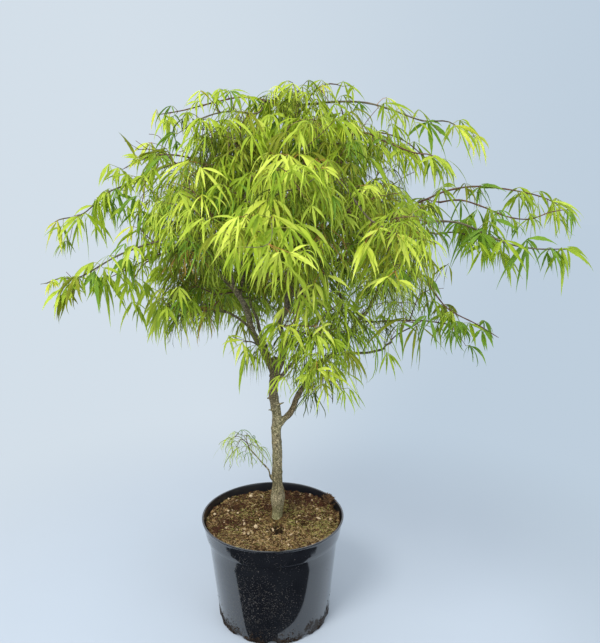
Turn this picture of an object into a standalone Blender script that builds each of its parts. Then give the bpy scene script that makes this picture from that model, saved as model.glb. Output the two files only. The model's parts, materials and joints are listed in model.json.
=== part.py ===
"""Potted thread-leaf Japanese maple: a small grafted tree in its round nursery pot.

Metres, +Z up. The origin is the middle of the pot's flat underside, +X is to the
tree's right and +Y to its back. The tree is a short trunk with a swollen graft, a
spray of tapering boughs, and a mounded, weeping crown made of separate lumps of
foliage round an open space, with long thin arching arms of leaves to both sides.
Pieces that touch keep a gap of a fraction of a millimetre.
"""

import math

import bmesh
import bpy
from mathutils import Matrix, Vector

for thing in list(bpy.data.objects):
    bpy.data.objects.remove(thing, do_unlink=True)

# ---------------------------------------------------------------- driving sizes
GAP = 0.0004  # kept between pieces that touch

POT_HEIGHT = 0.240
POT_RIM_R = 0.1477  # outside of the rim
POT_BASE_R = 0.1190  # outside of the foot
POT_WALL = 0.0026
POT_FLOOR = 0.0034
BAND_HEIGHT = 0.040  # the stiff band under the rim
BAND_R = 0.1416  # outside of the band at its lower edge
BAND_PROUD = 0.0050  # how far the band stands out from the wall there
DRAIN_NOTCHES = 10  # scallops cut in the bottom corner
DRAIN_R = 0.0115
POT_STEPS = 40

SOIL_BACK = 0.2225  # height of the compost's surface at the back
SOIL_FRONT = 0.2315  # it is nearly up to the rim in front
SOIL_FOOT = 0.2300  # level patch that the trunk stands on
SOIL_FOOT_R = 0.030

TRUNK_FOOT = (0.008, 0.0)  # a little off the pot's axis
TRUNK_TOP = 0.585
TRUNK_R_LOW = 0.0104  # just above the graft
TRUNK_R_TOP = 0.0080
GRAFT_Z, GRAFT_SPREAD, GRAFT_SWELL = 0.279, 0.020, 0.0046
FLARE_SWELL, FLARE_SPREAD = 0.0024, 0.010

CROWN_TOP = 1.078
UPPER_AXIS, UPPER_R, UPPER_Z = (0.052, -0.020), 0.108, 0.955
MIDDLE_AXIS, MIDDLE_R, MIDDLE_Z = (0.045, -0.045), 0.172, 0.835


# ---------------------------------------------------------------- materials
def material(name, colour, roughness, metallic=0.0):
    made = bpy.data.materials.new(name)
    made.use_nodes = True
    shader = made.node_tree.nodes["Principled BSDF"]
    shader.inputs["Base Color"].default_value = (*colour, 1.0)
    shader.inputs["Roughness"].default_value = roughness
    shader.inputs["Metallic"].default_value = metallic
    return made


PLASTIC = material("pot_plastic", (0.012, 0.013, 0.016), 0.32)
COMPOST = material("compost", (0.17, 0.105, 0.045), 0.95)
BARK = material("bark", (0.19, 0.17, 0.10), 0.85)
SHOOT = material("shoot", (0.16, 0.07, 0.045), 0.6)
LEAF = material("leaf", (0.26, 0.42, 0.035), 0.5)


# ---------------------------------------------------------------- mesh helpers
def put(name, bm, *coats):
    """A named object from a bmesh, with its material (a cutter has none)."""
    bmesh.ops.recalc_face_normals(bm, faces=bm.faces)
    mesh = bpy.data.meshes.new(name)
    bm.to_mesh(mesh)
    bm.free()
    for coat in coats:
        mesh.materials.append(coat)
    made = bpy.data.objects.new(name, mesh)
    bpy.context.scene.collection.objects.link(made)
    return made


def smooth(piece, angle=40.0):
    piece.data.shade_smooth()
    piece.data.set_sharp_from_angle(angle=math.radians(angle))


def evaluated(piece):
    bpy.context.view_layer.update()
    return bpy.data.meshes.new_from_object(
        piece.evaluated_get(bpy.context.evaluated_depsgraph_get())
    )


def cut(piece, cutter):
    """Take the cutter out of the piece, and the cutter away."""
    boolean = piece.modifiers.new("cut", "BOOLEAN")
    boolean.operation = "DIFFERENCE"
    boolean.solver = "EXACT"
    boolean.object = cutter
    mesh = evaluated(piece)
    piece.modifiers.clear()
    piece.data = mesh
    bpy.data.objects.remove(cutter, do_unlink=True)


def keep_largest(piece):
    """Drop the offcuts that a cut can leave, and keep the biggest body."""
    bm = bmesh.new()
    bm.from_mesh(piece.data)
    left, islands = set(bm.faces), []
    while left:
        edge = [left.pop()]
        island = set(edge)
        while edge:
            for side in edge.pop().edges:
                for face in side.link_faces:
                    if face in left:
                        left.remove(face)
                        island.add(face)
                        edge.append(face)
        islands.append(island)
    if len(islands) > 1:
        islands.sort(key=lambda faces: sum(f.calc_area() for f in faces))
        for island in islands[:-1]:
            bmesh.ops.delete(bm, geom=list(island), context="FACES")
        bmesh.ops.delete(
            bm, geom=[v for v in bm.verts if not v.link_faces], context="VERTS"
        )
        bm.to_mesh(piece.data)
    bm.free()


def turned(name, profile, steps, coat):
    """A profile of (radius, height), from the axis round to the axis, turned."""
    bm = bmesh.new()
    corners = [bm.verts.new((r, 0.0, z)) for r, z in profile]
    sides = [bm.edges.new(pair) for pair in zip(corners, corners[1:])]
    bmesh.ops.spin(
        bm,
        geom=corners + sides,
        cent=(0, 0, 0),
        axis=(0, 0, 1),
        angle=math.tau,
        steps=steps,
        use_merge=True,
    )
    bmesh.ops.remove_doubles(bm, verts=bm.verts, dist=1e-6)
    return put(name, bm, coat)


def through(points, count):
    """A smooth curve through the points (Catmull-Rom), as count + 1 points."""
    points = [Vector(p) for p in points]
    ends = [2 * points[0] - points[1], *points, 2 * points[-1] - points[-2]]
    curve = []
    for i in range(count + 1):
        at = i / count * (len(points) - 1)
        k = min(int(at), len(points) - 2)
        t = at - k
        a, b, c, d = ends[k : k + 4]
        curve.append(
            0.5
            * (
                2 * b
                + (c - a) * t
                + (2 * a - 5 * b + 4 * c - d) * t * t
                + (3 * b - a - 3 * c + d) * t**3
            )
        )
    return curve


def loft(bm, sections):
    """Skin a list of rings of points, and close both ends."""
    rings = [[bm.verts.new(p) for p in ring] for ring in sections]
    for low, high in zip(rings, rings[1:]):
        for i in range(len(low)):
            j = (i + 1) % len(low)
            bm.faces.new((low[i], low[j], high[j], high[i]))
    bm.faces.new(rings[0])
    bm.faces.new(rings[-1])


# ---------------------------------------------------------------- pot
def wall_r(z):
    """Outside radius of the tapering wall at a height."""
    top = BAND_R - BAND_PROUD
    return POT_BASE_R + (top - POT_BASE_R) * z / (POT_HEIGHT - BAND_HEIGHT)


def band_r(z):
    """Outside radius of the band, which widens to the rim."""
    share = (z - POT_HEIGHT + BAND_HEIGHT) / BAND_HEIGHT
    return BAND_R + (POT_RIM_R - BAND_R) * share


def build_pot():
    band = POT_HEIGHT - BAND_HEIGHT
    outer = [
        (0.0, 0.0),
        (POT_BASE_R - 0.020, 0.0),
        (POT_BASE_R - 0.005, 0.0),
        (POT_BASE_R - 0.0014, 0.0016),
        (wall_r(0.0055), 0.0055),
        (wall_r(0.100), 0.100),
        (wall_r(band), band - 0.001),
        (BAND_R, band + 0.0006),
        (band_r(POT_HEIGHT - 0.004), POT_HEIGHT - 0.004),
        (POT_RIM_R + 0.0006, POT_HEIGHT - 0.0016),
        (POT_RIM_R - 0.0002, POT_HEIGHT),
    ]
    inner = [
        (POT_RIM_R - POT_WALL + 0.0002, POT_HEIGHT),
        (POT_RIM_R - POT_WALL - 0.0004, POT_HEIGHT - 0.0012),
        (band_r(band + 0.0050) - POT_WALL, band + 0.0050),
        (wall_r(band) - POT_WALL, band + 0.0022),
        (wall_r(0.0055) - POT_WALL, 0.0075),
        (POT_BASE_R - POT_WALL - 0.004, POT_FLOOR),
        (0.0, POT_FLOOR),
    ]
    pot = turned("pot", outer + inner, POT_STEPS, PLASTIC)
    for i in range(DRAIN_NOTCHES):
        turn = math.tau * (i + 0.5) / DRAIN_NOTCHES
        bm = bmesh.new()
        bmesh.ops.create_cone(
            bm,
            cap_ends=True,
            segments=10,
            radius1=DRAIN_R,
            radius2=DRAIN_R,
            depth=0.026,
        )
        place = (
            Matrix.Rotation(turn, 4, "Z")
            @ Matrix.Translation((POT_BASE_R, 0, -0.0022))
            @ Matrix.Rotation(math.pi / 2, 4, "Y")
        )
        bmesh.ops.transform(bm, matrix=place, verts=bm.verts)
        cut(pot, put("notch", bm))
    smooth(pot, 35)


# ---------------------------------------------------------------- soil
def soil_height(x, y):
    """The compost's surface: level round the trunk, higher in front and right."""
    r = math.hypot(x, y)
    lean = (0.35 * x - y) / POT_RIM_R
    level = (SOIL_BACK + SOIL_FRONT) / 2 + (SOIL_FRONT - SOIL_BACK) / 2 * max(
        -1.0, min(1.0, lean)
    )
    lumps = 0.0012 * math.sin(71 * x + 9 * math.sin(33 * y)) * math.cos(
        57 * y - 1.3
    ) + 0.0008 * math.sin(123 * x - 95 * y)
    from_foot = math.hypot(x - TRUNK_FOOT[0], y - TRUNK_FOOT[1])
    blend = max(0.0, min(1.0, (from_foot - SOIL_FOOT_R) / 0.035))
    blend = blend * blend * (3 - 2 * blend)
    if r > POT_RIM_R - 0.012:
        lumps *= 0.5
    return SOIL_FOOT * (1 - blend) + (level + lumps) * blend


def build_soil():
    band = POT_HEIGHT - BAND_HEIGHT
    slack = 0.0005
    inside = wall_r(band) - POT_WALL - slack
    low, high = band + 0.0068, SOIL_BACK - 0.0030
    at_band = band_r(low) - POT_WALL - slack
    at_top = band_r(high) - POT_WALL - slack
    profile = [
        (0.0, POT_FLOOR + slack),
        (POT_BASE_R - POT_WALL - 0.0055, POT_FLOOR + slack),
        (wall_r(0.008) - POT_WALL - slack, 0.0095),
        (inside, band + 0.0034),
        (at_band, low),
        (at_top, high),
        (at_top, SOIL_FRONT),
    ]
    rings = (0.92, 0.76, 0.60, 0.46, 0.34, 0.24, 0.12)
    profile += [(at_top * share, SOIL_FRONT) for share in rings] + [(0.0, SOIL_FRONT)]
    soil = turned("soil", profile, POT_STEPS // 2, COMPOST)
    for corner in soil.data.vertices:
        if corner.co.z > SOIL_FRONT - 1e-4:
            corner.co.z = soil_height(corner.co.x, corner.co.y)
    smooth(soil, 60)


# ---------------------------------------------------------------- trunk and boughs
TRUNK_LINE = (
    (TRUNK_FOOT[0], 0.0, SOIL_FOOT),
    (0.0100, 0.000, 0.260),
    (0.0112, 0.000, 0.300),
    (0.0096, 0.000, 0.345),
    (0.0102, 0.001, 0.390),
    (0.0090, 0.001, 0.430),
    (0.0104, 0.002, 0.462),
    (0.0040, 0.002, 0.508),
    (0.0072, 0.001, 0.555),
    (0.0080, 0.001, TRUNK_TOP),
)


def trunk_r(z):
    up = (z - GRAFT_Z) / (TRUNK_TOP - GRAFT_Z)
    plain = TRUNK_R_LOW + (TRUNK_R_TOP - TRUNK_R_LOW) * max(0.0, up)
    graft = GRAFT_SWELL * math.exp(-(((z - GRAFT_Z) / GRAFT_SPREAD) ** 2))
    flare = FLARE_SWELL * math.exp(-(z - SOIL_FOOT) / FLARE_SPREAD)
    return plain + graft + flare


def tube(name, line, radius, sides, coat, count, grow=0.0, level_foot=False):
    """A tapering limb: radius is a function of (share along it, point)."""
    curve = through(line, count)
    bm, sections = bmesh.new(), []
    across = Vector((0.3, -1.0, 0.1)).normalized()
    for i, p in enumerate(curve):
        ahead = curve[min(i + 1, count)] - curve[max(i - 1, 0)]
        if level_foot and i == 0:
            ahead = Vector((0, 0, 1))
        ahead.normalize()
        across = (across - across.dot(ahead) * ahead).normalized()
        other = ahead.cross(across)
        r = radius(i / count, p) + grow
        ring = []
        for k in range(sides):
            turn = math.tau * k / sides
            wave = 1.0 if grow else 1.0 - 0.05 * abs(math.sin(2.3 * k + 1.7 * i))
            ring.append(
                p + r * wave * (math.cos(turn) * across + math.sin(turn) * other)
            )
        sections.append(ring)
    loft(bm, sections)
    made = put(name, bm, coat)
    smooth(made, 60)
    return made


def trunk(name="trunk", grow=0.0):
    line = TRUNK_LINE
    if grow:
        line = (
            (TRUNK_FOOT[0], 0.0, SOIL_FOOT - 0.02),
            *TRUNK_LINE[1:-1],
            (0.0080, 0.001, TRUNK_TOP + grow),
        )
    return tube(name, line, lambda t, p: trunk_r(p.z), 10, BARK, 20, grow, True)


# Each bough: what it grows from, the mass it ends in, its radius at the foot and
# at the tip, and the few bends that it passes through.
BOUGHS = {
    "bough_leader": ("trunk", "mass_top", 0.0058, 0.0030, (
        (0.012, 0.000, 0.560), (0.026, 0.002, 0.602), (0.020, 0.004, 0.650),
        (0.038, 0.000, 0.700), (0.052, -0.010, 0.790), (0.054, -0.016, 0.880),
        (0.050, -0.015, 1.000))),
    "bough_left": ("trunk", "mass_left", 0.0062, 0.0032, (
        (0.004, 0.001, 0.560), (-0.020, -0.010, 0.611), (-0.037, -0.020, 0.655),
        (-0.048, -0.030, 0.700), (-0.086, -0.040, 0.752), (-0.125, -0.045, 0.815))),
    "bough_left_low": ("bough_left", "mass_skirt_left", 0.0036, 0.0020, (
        (-0.016, -0.008, 0.603), (-0.028, 0.006, 0.618), (-0.044, 0.018, 0.640),
        (-0.062, 0.025, 0.655), (-0.088, 0.028, 0.668), (-0.145, 0.024, 0.690))),
    "bough_right": ("trunk", "mass_back_right", 0.0062, 0.0032, (
        (0.008, 0.001, 0.438), (0.022, 0.003, 0.456), (0.040, 0.012, 0.480),
        (0.060, 0.028, 0.522), (0.097, 0.040, 0.558), (0.139, 0.050, 0.590),
        (0.160, 0.054, 0.622), (0.192, 0.058, 0.668), (0.212, 0.060, 0.712),
        (0.188, 0.070, 0.800))),
    "bough_right_low": ("bough_right", "mass_skirt_right", 0.0034, 0.0020, (
        (0.142, 0.050, 0.597), (0.172, 0.040, 0.640), (0.204, 0.020, 0.650),
        (0.262, -0.012, 0.660))),
    "bough_right_up": ("bough_right", "mass_back", 0.0032, 0.0020, (
        (0.126, 0.047, 0.578), (0.136, 0.058, 0.640), (0.136, 0.076, 0.700),
        (0.088, 0.104, 0.790))),
    "bough_right_front": ("bough_right", "mass_skirt_front_right", 0.0032, 0.0020, (
        (0.118, 0.045, 0.573), (0.160, 0.030, 0.583), (0.200, -0.010, 0.598),
        (0.214, -0.060, 0.622), (0.218, -0.130, 0.655))),
    "bough_back_left": ("trunk", "mass_skirt_back_left", 0.0046, 0.0024, (
        (0.007, 0.002, 0.545), (-0.008, 0.028, 0.585), (-0.026, 0.060, 0.632),
        (-0.045, 0.098, 0.680), (-0.055, 0.140, 0.715))),
    "bough_back": ("trunk", "mass_skirt_back", 0.0046, 0.0024, (
        (0.010, 0.002, 0.530), (0.026, 0.030, 0.580), (0.046, 0.064, 0.632),
        (0.066, 0.106, 0.680), (0.085, 0.165, 0.710))),
    "bough_front": ("bough_leader", "mass_front", 0.0042, 0.0024, (
        (0.021, 0.004, 0.660), (0.032, -0.036, 0.700), (0.040, -0.086, 0.748),
        (0.045, -0.140, 0.795), (0.045, -0.205, 0.835))),
    "bough_front_low": ("trunk", "mass_skirt_front", 0.0042, 0.0022, (
        (0.008, 0.000, 0.535), (0.030, -0.036, 0.568), (0.055, -0.086, 0.612),
        (0.074, -0.135, 0.652), (0.082, -0.200, 0.675))),
    "bough_front_left": ("bough_left", "mass_front_left", 0.0038, 0.0022, (
        (-0.037, -0.020, 0.655), (-0.044, -0.058, 0.698), (-0.056, -0.100, 0.745),
        (-0.074, -0.160, 0.815))),
    "bough_front_tuft": ("bough_left", "mass_tuft", 0.0026, 0.0016, (
        (-0.012, -0.006, 0.595), (-0.034, -0.042, 0.628), (-0.056, -0.078, 0.634),
        (-0.066, -0.100, 0.605))),
    "bough_right_mid": ("bough_leader", "mass_right", 0.0038, 0.0022, (
        (0.045, -0.004, 0.745), (0.086, -0.018, 0.770), (0.128, -0.030, 0.795),
        (0.195, -0.044, 0.830))),
    "bough_front_right": ("bough_leader", "mass_front_right", 0.0038, 0.0022, (
        (0.038, 0.000, 0.700), (0.066, -0.040, 0.732), (0.100, -0.082, 0.764),
        (0.155, -0.150, 0.825))),
    "bough_back_mid": ("bough_left", "mass_back_left", 0.0036, 0.0022, (
        (-0.052, -0.032, 0.706), (-0.052, 0.006, 0.742), (-0.058, 0.040, 0.785),
        (-0.072, 0.068, 0.830))),
    "bough_low_shoot": ("trunk", "mass_low_spray", 0.0024, 0.0014, (
        (0.010, 0.000, 0.312), (-0.003, -0.003, 0.324), (-0.009, -0.006, 0.345),
        (-0.019, -0.009, 0.362), (-0.032, -0.012, 0.380), (-0.050, -0.015, 0.400))),
}


def bough(name, grow=0.0):
    parent, target, foot, tip, line = BOUGHS[name]
    length = sum((Vector(a) - Vector(b)).length for a, b in zip(line, line[1:]))
    count = max(5, round(length / 0.034))
    coat = BARK if foot > 0.003 else SHOOT
    return tube(
        name, line, lambda t, p: foot + (tip - foot) * t**0.85, 6, coat, count, grow
    )


# ---------------------------------------------------------------- foliage masses
# Half sizes are (out from the crown's axis or X, across it or Y, up and down).
MASSES = {}


def mass(name, centre, half, turn=0.0, sag=0.0, rough=0.11):
    MASSES[name] = dict(
        centre=Vector(centre), half=half, turn=turn, sag=sag, rough=rough
    )


def ring_of_masses(names, axis, radius, height, half, first=0.0, change=None):
    for i, name in enumerate(names):
        turn = math.radians(first + 360.0 * i / len(names))
        out, rise, scale = (change or {}).get(name, (0.0, 0.0, 1.0))
        centre = (
            axis[0] + (radius + out) * math.cos(turn),
            axis[1] + (radius + out) * math.sin(turn),
            height + rise,
        )
        mass(name, centre, tuple(h * scale for h in half), turn)


mass("mass_top", (0.055, -0.018, 1.018), (0.088, 0.075, 0.060))
ring_of_masses(
    ("mass_upper_right", "mass_upper_back_right", "mass_upper_back_left",
     "mass_upper_left", "mass_upper_front"),
    UPPER_AXIS, UPPER_R, UPPER_Z, (0.076, 0.080, 0.066), 0.0,
    {"mass_upper_left": (0.022, 0.004, 1.06), "mass_upper_back_left": (0.012, 0.0, 1.0),
     "mass_upper_front": (0.010, 0.0, 1.05)},
)
ring_of_masses(
    ("mass_right", "mass_back_right", "mass_back", "mass_back_left", "mass_left",
     "mass_front_left", "mass_front", "mass_front_right"),
    MIDDLE_AXIS, MIDDLE_R, MIDDLE_Z, (0.085, 0.084, 0.100), 0.0,
    {"mass_left": (0.0, 0.005, 1.03), "mass_front_left": (0.004, 0.012, 0.97)},
)
# the skirt that weeps round the open space under the crown
mass("mass_skirt_left", (-0.158, 0.020, 0.708), (0.062, 0.088, 0.086))
mass("mass_skirt_back_left", (-0.062, 0.158, 0.700), (0.092, 0.062, 0.100))
mass("mass_skirt_back", (0.090, 0.182, 0.690), (0.080, 0.056, 0.108))
mass("mass_skirt_back_right", (0.226, 0.152, 0.684), (0.072, 0.064, 0.106))
mass("mass_skirt_right", (0.280, -0.020, 0.676), (0.060, 0.078, 0.100))
mass("mass_skirt_front_right", (0.218, -0.172, 0.676), (0.070, 0.058, 0.098))
mass("mass_skirt_front", (0.086, -0.226, 0.662), (0.070, 0.056, 0.108))
mass("mass_tuft", (-0.066, -0.104, 0.582), (0.030, 0.028, 0.042))
# bright sprays that arch out past the crown to the front and the back
mass("mass_front_high", (0.062, -0.262, 0.915), (0.078, 0.064, 0.044), 0.2)
mass("mass_front_spray_right", (0.205, -0.282, 0.828), (0.060, 0.062, 0.066), 0.5)
mass("mass_front_spray_left", (0.005, -0.318, 0.836), (0.072, 0.052, 0.056), -0.2)
mass("mass_back_spray_left", (-0.058, 0.214, 0.852), (0.066, 0.050, 0.056), 0.2)
mass("mass_back_spray_right", (0.152, 0.224, 0.846), (0.070, 0.048, 0.058), -0.2)
mass("mass_twig_left", (-0.212, 0.024, 0.956), (0.078, 0.046, 0.038))
# the little shoot low on the trunk
mass("mass_low_spray", (-0.058, -0.016, 0.384), (0.044, 0.036, 0.052))


def ellipsoid_r(direction, half):
    return 1.0 / math.sqrt(sum((d / h) ** 2 for d, h in zip(direction, half)))


def support(spec, direction):
    """How far the plain ellipsoid reaches along a direction."""
    turned_back = Matrix.Rotation(-spec["turn"], 3, "Z") @ direction
    return math.sqrt(sum((d * h) ** 2 for d, h in zip(turned_back, spec["half"])))


def planes_round(name):
    """The planes that part this mass from its neighbours, in proportion to size."""
    me, planes = MASSES[name], []
    for other, spec in MASSES.items():
        if other == name:
            continue
        way = spec["centre"] - me["centre"]
        apart = way.length
        way.normalize()
        mine, theirs = support(me, way), support(spec, way)
        if apart < 1.35 * (mine + theirs):
            planes.append((way, apart * mine / (mine + theirs) - 0.0012))
    return planes


def lump(name, grow=0.0, around=10, rows=7):
    """One closed, uneven lump of foliage, kept on its own side of each plane."""
    spec, planes = MASSES[name], planes_round(name)
    seed = 1.0 + 0.37 * sum(ord(letter) for letter in name)
    bm = bmesh.new()
    rings = []
    for row in range(rows + 1):
        polar = math.pi * row / rows
        ring = []
        for k in range(around if 0 < row < rows else 1):
            angle = math.tau * (k + 0.5 * (row % 2)) / around
            way = Vector(
                (
                    math.sin(polar) * math.cos(angle),
                    math.sin(polar) * math.sin(angle),
                    math.cos(polar),
                )
            )
            uneven = spec["rough"] * (
                math.sin(3.1 * way.x + 2.3 * way.z + seed)
                + math.sin(4.7 * way.y - 3.9 * way.z + 1.7 * seed)
                + 0.8 * math.sin(6.3 * way.x + 5.1 * way.y + 2.9 * seed)
            ) / 1.6
            reach = ellipsoid_r(way, spec["half"]) * (1.0 + uneven)
            way = Matrix.Rotation(spec["turn"], 3, "Z") @ way
            for normal, limit in planes:
                lean = way.dot(normal)
                if lean > 1e-6:
                    reach = min(reach, limit / lean)
            ring.append(bm.verts.new(spec["centre"] + way * (reach + grow)))
        rings.append(ring)
    for low, high in zip(rings, rings[1:]):
        many = max(len(low), len(high))
        for k in range(many):
            j = (k + 1) % many
            if len(low) == 1:
                bm.faces.new((low[0], high[k], high[j]))
            elif len(high) == 1:
                bm.faces.new((low[j], low[k], high[0]))
            else:
                bm.faces.new((low[k], low[j], high[j], high[k]))
    bmesh.ops.triangulate(bm, faces=bm.faces)
    return put(name, bm, LEAF)


# Long thin arms of leaves. Each: half width and drop at its root and near its tip,
# and the line of the shoot that carries it, from inside the crown to its tip.
ARMS = {
    "arm_left_upper": ((0.040, 0.018), (0.095, 0.055), (
        (-0.150, 0.055, 0.935), (-0.228, 0.045, 0.921), (-0.300, 0.035, 0.888),
        (-0.350, 0.030, 0.852), (-0.392, 0.025, 0.842), (-0.430, 0.020, 0.812))),
    "arm_left_lower": ((0.036, 0.018), (0.085, 0.050), (
        (-0.110, -0.100, 0.822), (-0.191, -0.120, 0.818), (-0.246, -0.130, 0.800),
        (-0.308, -0.140, 0.766), (-0.352, -0.150, 0.762), (-0.392, -0.150, 0.738))),
    "arm_top_left": ((0.036, 0.016), (0.050, 0.060), (
        (-0.020, -0.035, 1.020), (-0.085, -0.045, 1.032), (-0.135, -0.055, 1.024),
        (-0.186, -0.060, 1.012))),
    "arm_top_right": ((0.032, 0.016), (0.038, 0.060), (
        (0.110, 0.000, 1.020), (0.175, 0.000, 1.040), (0.235, -0.010, 1.024),
        (0.300, -0.020, 1.010), (0.362, -0.030, 0.968))),
    "arm_right_high": ((0.030, 0.016), (0.035, 0.055), (
        (0.160, -0.075, 0.962), (0.214, -0.085, 0.966), (0.265, -0.090, 0.956),
        (0.315, -0.095, 0.925))),
    "arm_right_upper": ((0.034, 0.018), (0.050, 0.055), (
        (0.240, 0.030, 0.870), (0.330, 0.030, 0.896), (0.390, 0.030, 0.900),
        (0.465, 0.030, 0.892), (0.530, 0.030, 0.876), (0.590, 0.020, 0.835))),
    "arm_right_lower": ((0.034, 0.018), (0.090, 0.055), (
        (0.230, -0.070, 0.838), (0.300, -0.075, 0.848), (0.373, -0.082, 0.828),
        (0.440, -0.092, 0.808), (0.520, -0.100, 0.804), (0.585, -0.100, 0.760))),
    "arm_low_right": ((0.032, 0.016), (0.075, 0.035), (
        (0.270, -0.050, 0.742), (0.323, -0.060, 0.690), (0.380, -0.062, 0.662),
        (0.452, -0.064, 0.624))),
}


def arm(name):
    """A thin pad of drooping leaves hung from an arching shoot."""
    (wide, narrow), (deep, shallow), line = ARMS[name]
    count = 8
    curve = through(line, count)
    bm, sections = bmesh.new(), []
    for i, p in enumerate(curve):
        t = i / count
        ahead = (curve[min(i + 1, count)] - curve[max(i - 1, 0)]).normalized()
        side = ahead.cross(Vector((0, 0, 1))).normalized()
        ends = min(1.0, 0.30 + 2.8 * t, 0.10 + 4.0 * (1.0 - t))
        half = (wide + (narrow - wide) * t) * ends
        drop = (deep + (shallow - deep) * t) * ends
        drop *= 1.0 + 0.16 * math.sin(5.3 * i + len(name))
        rise = 0.010 * ends
        ring = []
        for k in range(6):
            turn = math.tau * k / 6
            up = math.cos(turn)
            ring.append(
                p
                + side * (half * math.sin(turn) * (1 + 0.1 * math.sin(3 * i + 2 * k)))
                + Vector((0, 0, rise * up if up > 0 else drop * up))
            )
        sections.append(ring)
    loft(bm, sections)
    bmesh.ops.triangulate(bm, faces=bm.faces)
    return put(name, bm, LEAF)


# ---------------------------------------------------------------- the whole plant
build_pot()
build_soil()
trunk()
for name in MASSES:
    smooth(lump(name), 60)
for name, (parent, target, _, _, _) in BOUGHS.items():
    limb = bough(name)
    cut(limb, trunk("cutter", GAP) if parent == "trunk" else bough(parent, GAP))
    cut(limb, lump(target, GAP * 2))
    keep_largest(limb)
for name, (_, _, line) in ARMS.items():
    pad = arm(name)
    box = [
        (min(v.co[i] for v in pad.data.vertices), max(v.co[i] for v in pad.data.vertices))
        for i in range(3)
    ]
    for near, spec in MASSES.items():
        reach = max(spec["half"]) * 1.2
        if all(
            low - reach < spec["centre"][i] < high + reach
            for i, (low, high) in enumerate(box)
        ):
            cut(pad, lump(near, GAP * 2))
    keep_largest(pad)
    smooth(pad, 60)
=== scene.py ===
import json
import math

import bmesh
import bpy
import numpy as np
from mathutils import Matrix, Vector, noise
from mathutils.bvhtree import BVHTree

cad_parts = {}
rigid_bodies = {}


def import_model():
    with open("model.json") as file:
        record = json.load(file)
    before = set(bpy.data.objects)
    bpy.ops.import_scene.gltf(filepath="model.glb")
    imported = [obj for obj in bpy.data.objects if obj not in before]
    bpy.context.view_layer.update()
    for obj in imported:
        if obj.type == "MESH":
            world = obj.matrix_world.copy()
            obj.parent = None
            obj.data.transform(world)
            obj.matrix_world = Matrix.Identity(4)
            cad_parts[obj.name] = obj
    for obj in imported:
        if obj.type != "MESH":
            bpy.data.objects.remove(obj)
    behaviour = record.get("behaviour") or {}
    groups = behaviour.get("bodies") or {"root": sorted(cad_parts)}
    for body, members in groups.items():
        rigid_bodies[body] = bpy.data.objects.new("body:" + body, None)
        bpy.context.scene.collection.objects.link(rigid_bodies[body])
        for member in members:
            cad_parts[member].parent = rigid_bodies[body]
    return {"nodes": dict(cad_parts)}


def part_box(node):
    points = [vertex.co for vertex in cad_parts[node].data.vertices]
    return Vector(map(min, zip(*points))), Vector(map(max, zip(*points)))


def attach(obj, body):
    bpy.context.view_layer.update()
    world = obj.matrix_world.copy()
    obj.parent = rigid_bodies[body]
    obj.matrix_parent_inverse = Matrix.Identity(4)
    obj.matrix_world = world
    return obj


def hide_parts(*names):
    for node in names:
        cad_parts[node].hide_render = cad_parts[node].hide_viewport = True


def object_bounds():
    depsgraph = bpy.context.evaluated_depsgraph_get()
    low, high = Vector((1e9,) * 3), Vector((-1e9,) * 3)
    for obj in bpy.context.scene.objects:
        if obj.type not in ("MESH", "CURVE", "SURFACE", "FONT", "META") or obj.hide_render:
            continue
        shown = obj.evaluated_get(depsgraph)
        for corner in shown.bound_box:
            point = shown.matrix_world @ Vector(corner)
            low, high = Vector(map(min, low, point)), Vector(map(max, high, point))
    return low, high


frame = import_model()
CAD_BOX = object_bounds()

scene = bpy.context.scene
UP = np.array((0.0, 0.0, 1.0))
scene.view_settings.view_transform = "Standard"


# =============================================================== material helpers
def ramp(new, link, source, stops, interpolation="LINEAR"):
    n = new("ShaderNodeValToRGB")
    n.color_ramp.interpolation = interpolation
    while len(n.color_ramp.elements) < len(stops):
        n.color_ramp.elements.new(0.5)
    for e, (at, colour) in zip(n.color_ramp.elements, stops):
        e.position = at
        e.color = (*colour, 1) if len(colour) == 3 else colour
    link(source, n.inputs["Fac"])
    return n.outputs["Color"]


def noise_of(new, link, coords, scale, detail=4.0, rough=0.55, stretch=None, lacuna=2.0):
    if stretch:
        m = new("ShaderNodeMapping")
        m.inputs["Scale"].default_value = stretch
        link(coords, m.inputs["Vector"])
        coords = m.outputs[0]
    n = new("ShaderNodeTexNoise")
    n.inputs["Scale"].default_value = scale
    n.inputs["Detail"].default_value = detail
    n.inputs["Roughness"].default_value = rough
    n.inputs["Lacunarity"].default_value = lacuna
    link(coords, n.inputs["Vector"])
    return n.outputs["Fac"]


def blend(new, link, fac, a, b, mode="MIX"):
    n = new("ShaderNodeMix")
    n.data_type = "RGBA"
    n.blend_type = mode
    for socket, v in ((n.inputs[0], fac), (n.inputs[6], a), (n.inputs[7], b)):
        if isinstance(v, (int, float)):
            socket.default_value = v
        elif isinstance(v, tuple):
            socket.default_value = (*v, 1)
        else:
            link(v, socket)
    return n.outputs[2]


def reach(new, link, v, a, b, c=0.0, d=1.0, smooth=False):
    n = new("ShaderNodeMapRange")
    n.clamp = True
    if smooth:
        n.interpolation_type = "SMOOTHSTEP"
    for name, value in (("From Min", a), ("From Max", b), ("To Min", c), ("To Max", d)):
        n.inputs[name].default_value = value
    link(v, n.inputs["Value"])
    return n.outputs[0]


def times(new, link, a, b):
    n = new("ShaderNodeMath")
    n.operation = "MULTIPLY"
    for i, v in enumerate((a, b)):
        if isinstance(v, (int, float)):
            n.inputs[i].default_value = v
        else:
            link(v, n.inputs[i])
    return n.outputs[0]


def bumped(new, link, height, strength, distance, shader, before=None):
    b = new("ShaderNodeBump")
    b.inputs["Strength"].default_value = strength
    b.inputs["Distance"].default_value = distance
    link(height, b.inputs["Height"])
    if before:
        link(before, b.inputs["Normal"])
    if shader:
        link(b.outputs[0], shader.inputs["Normal"])
    return b.outputs[0]


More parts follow.
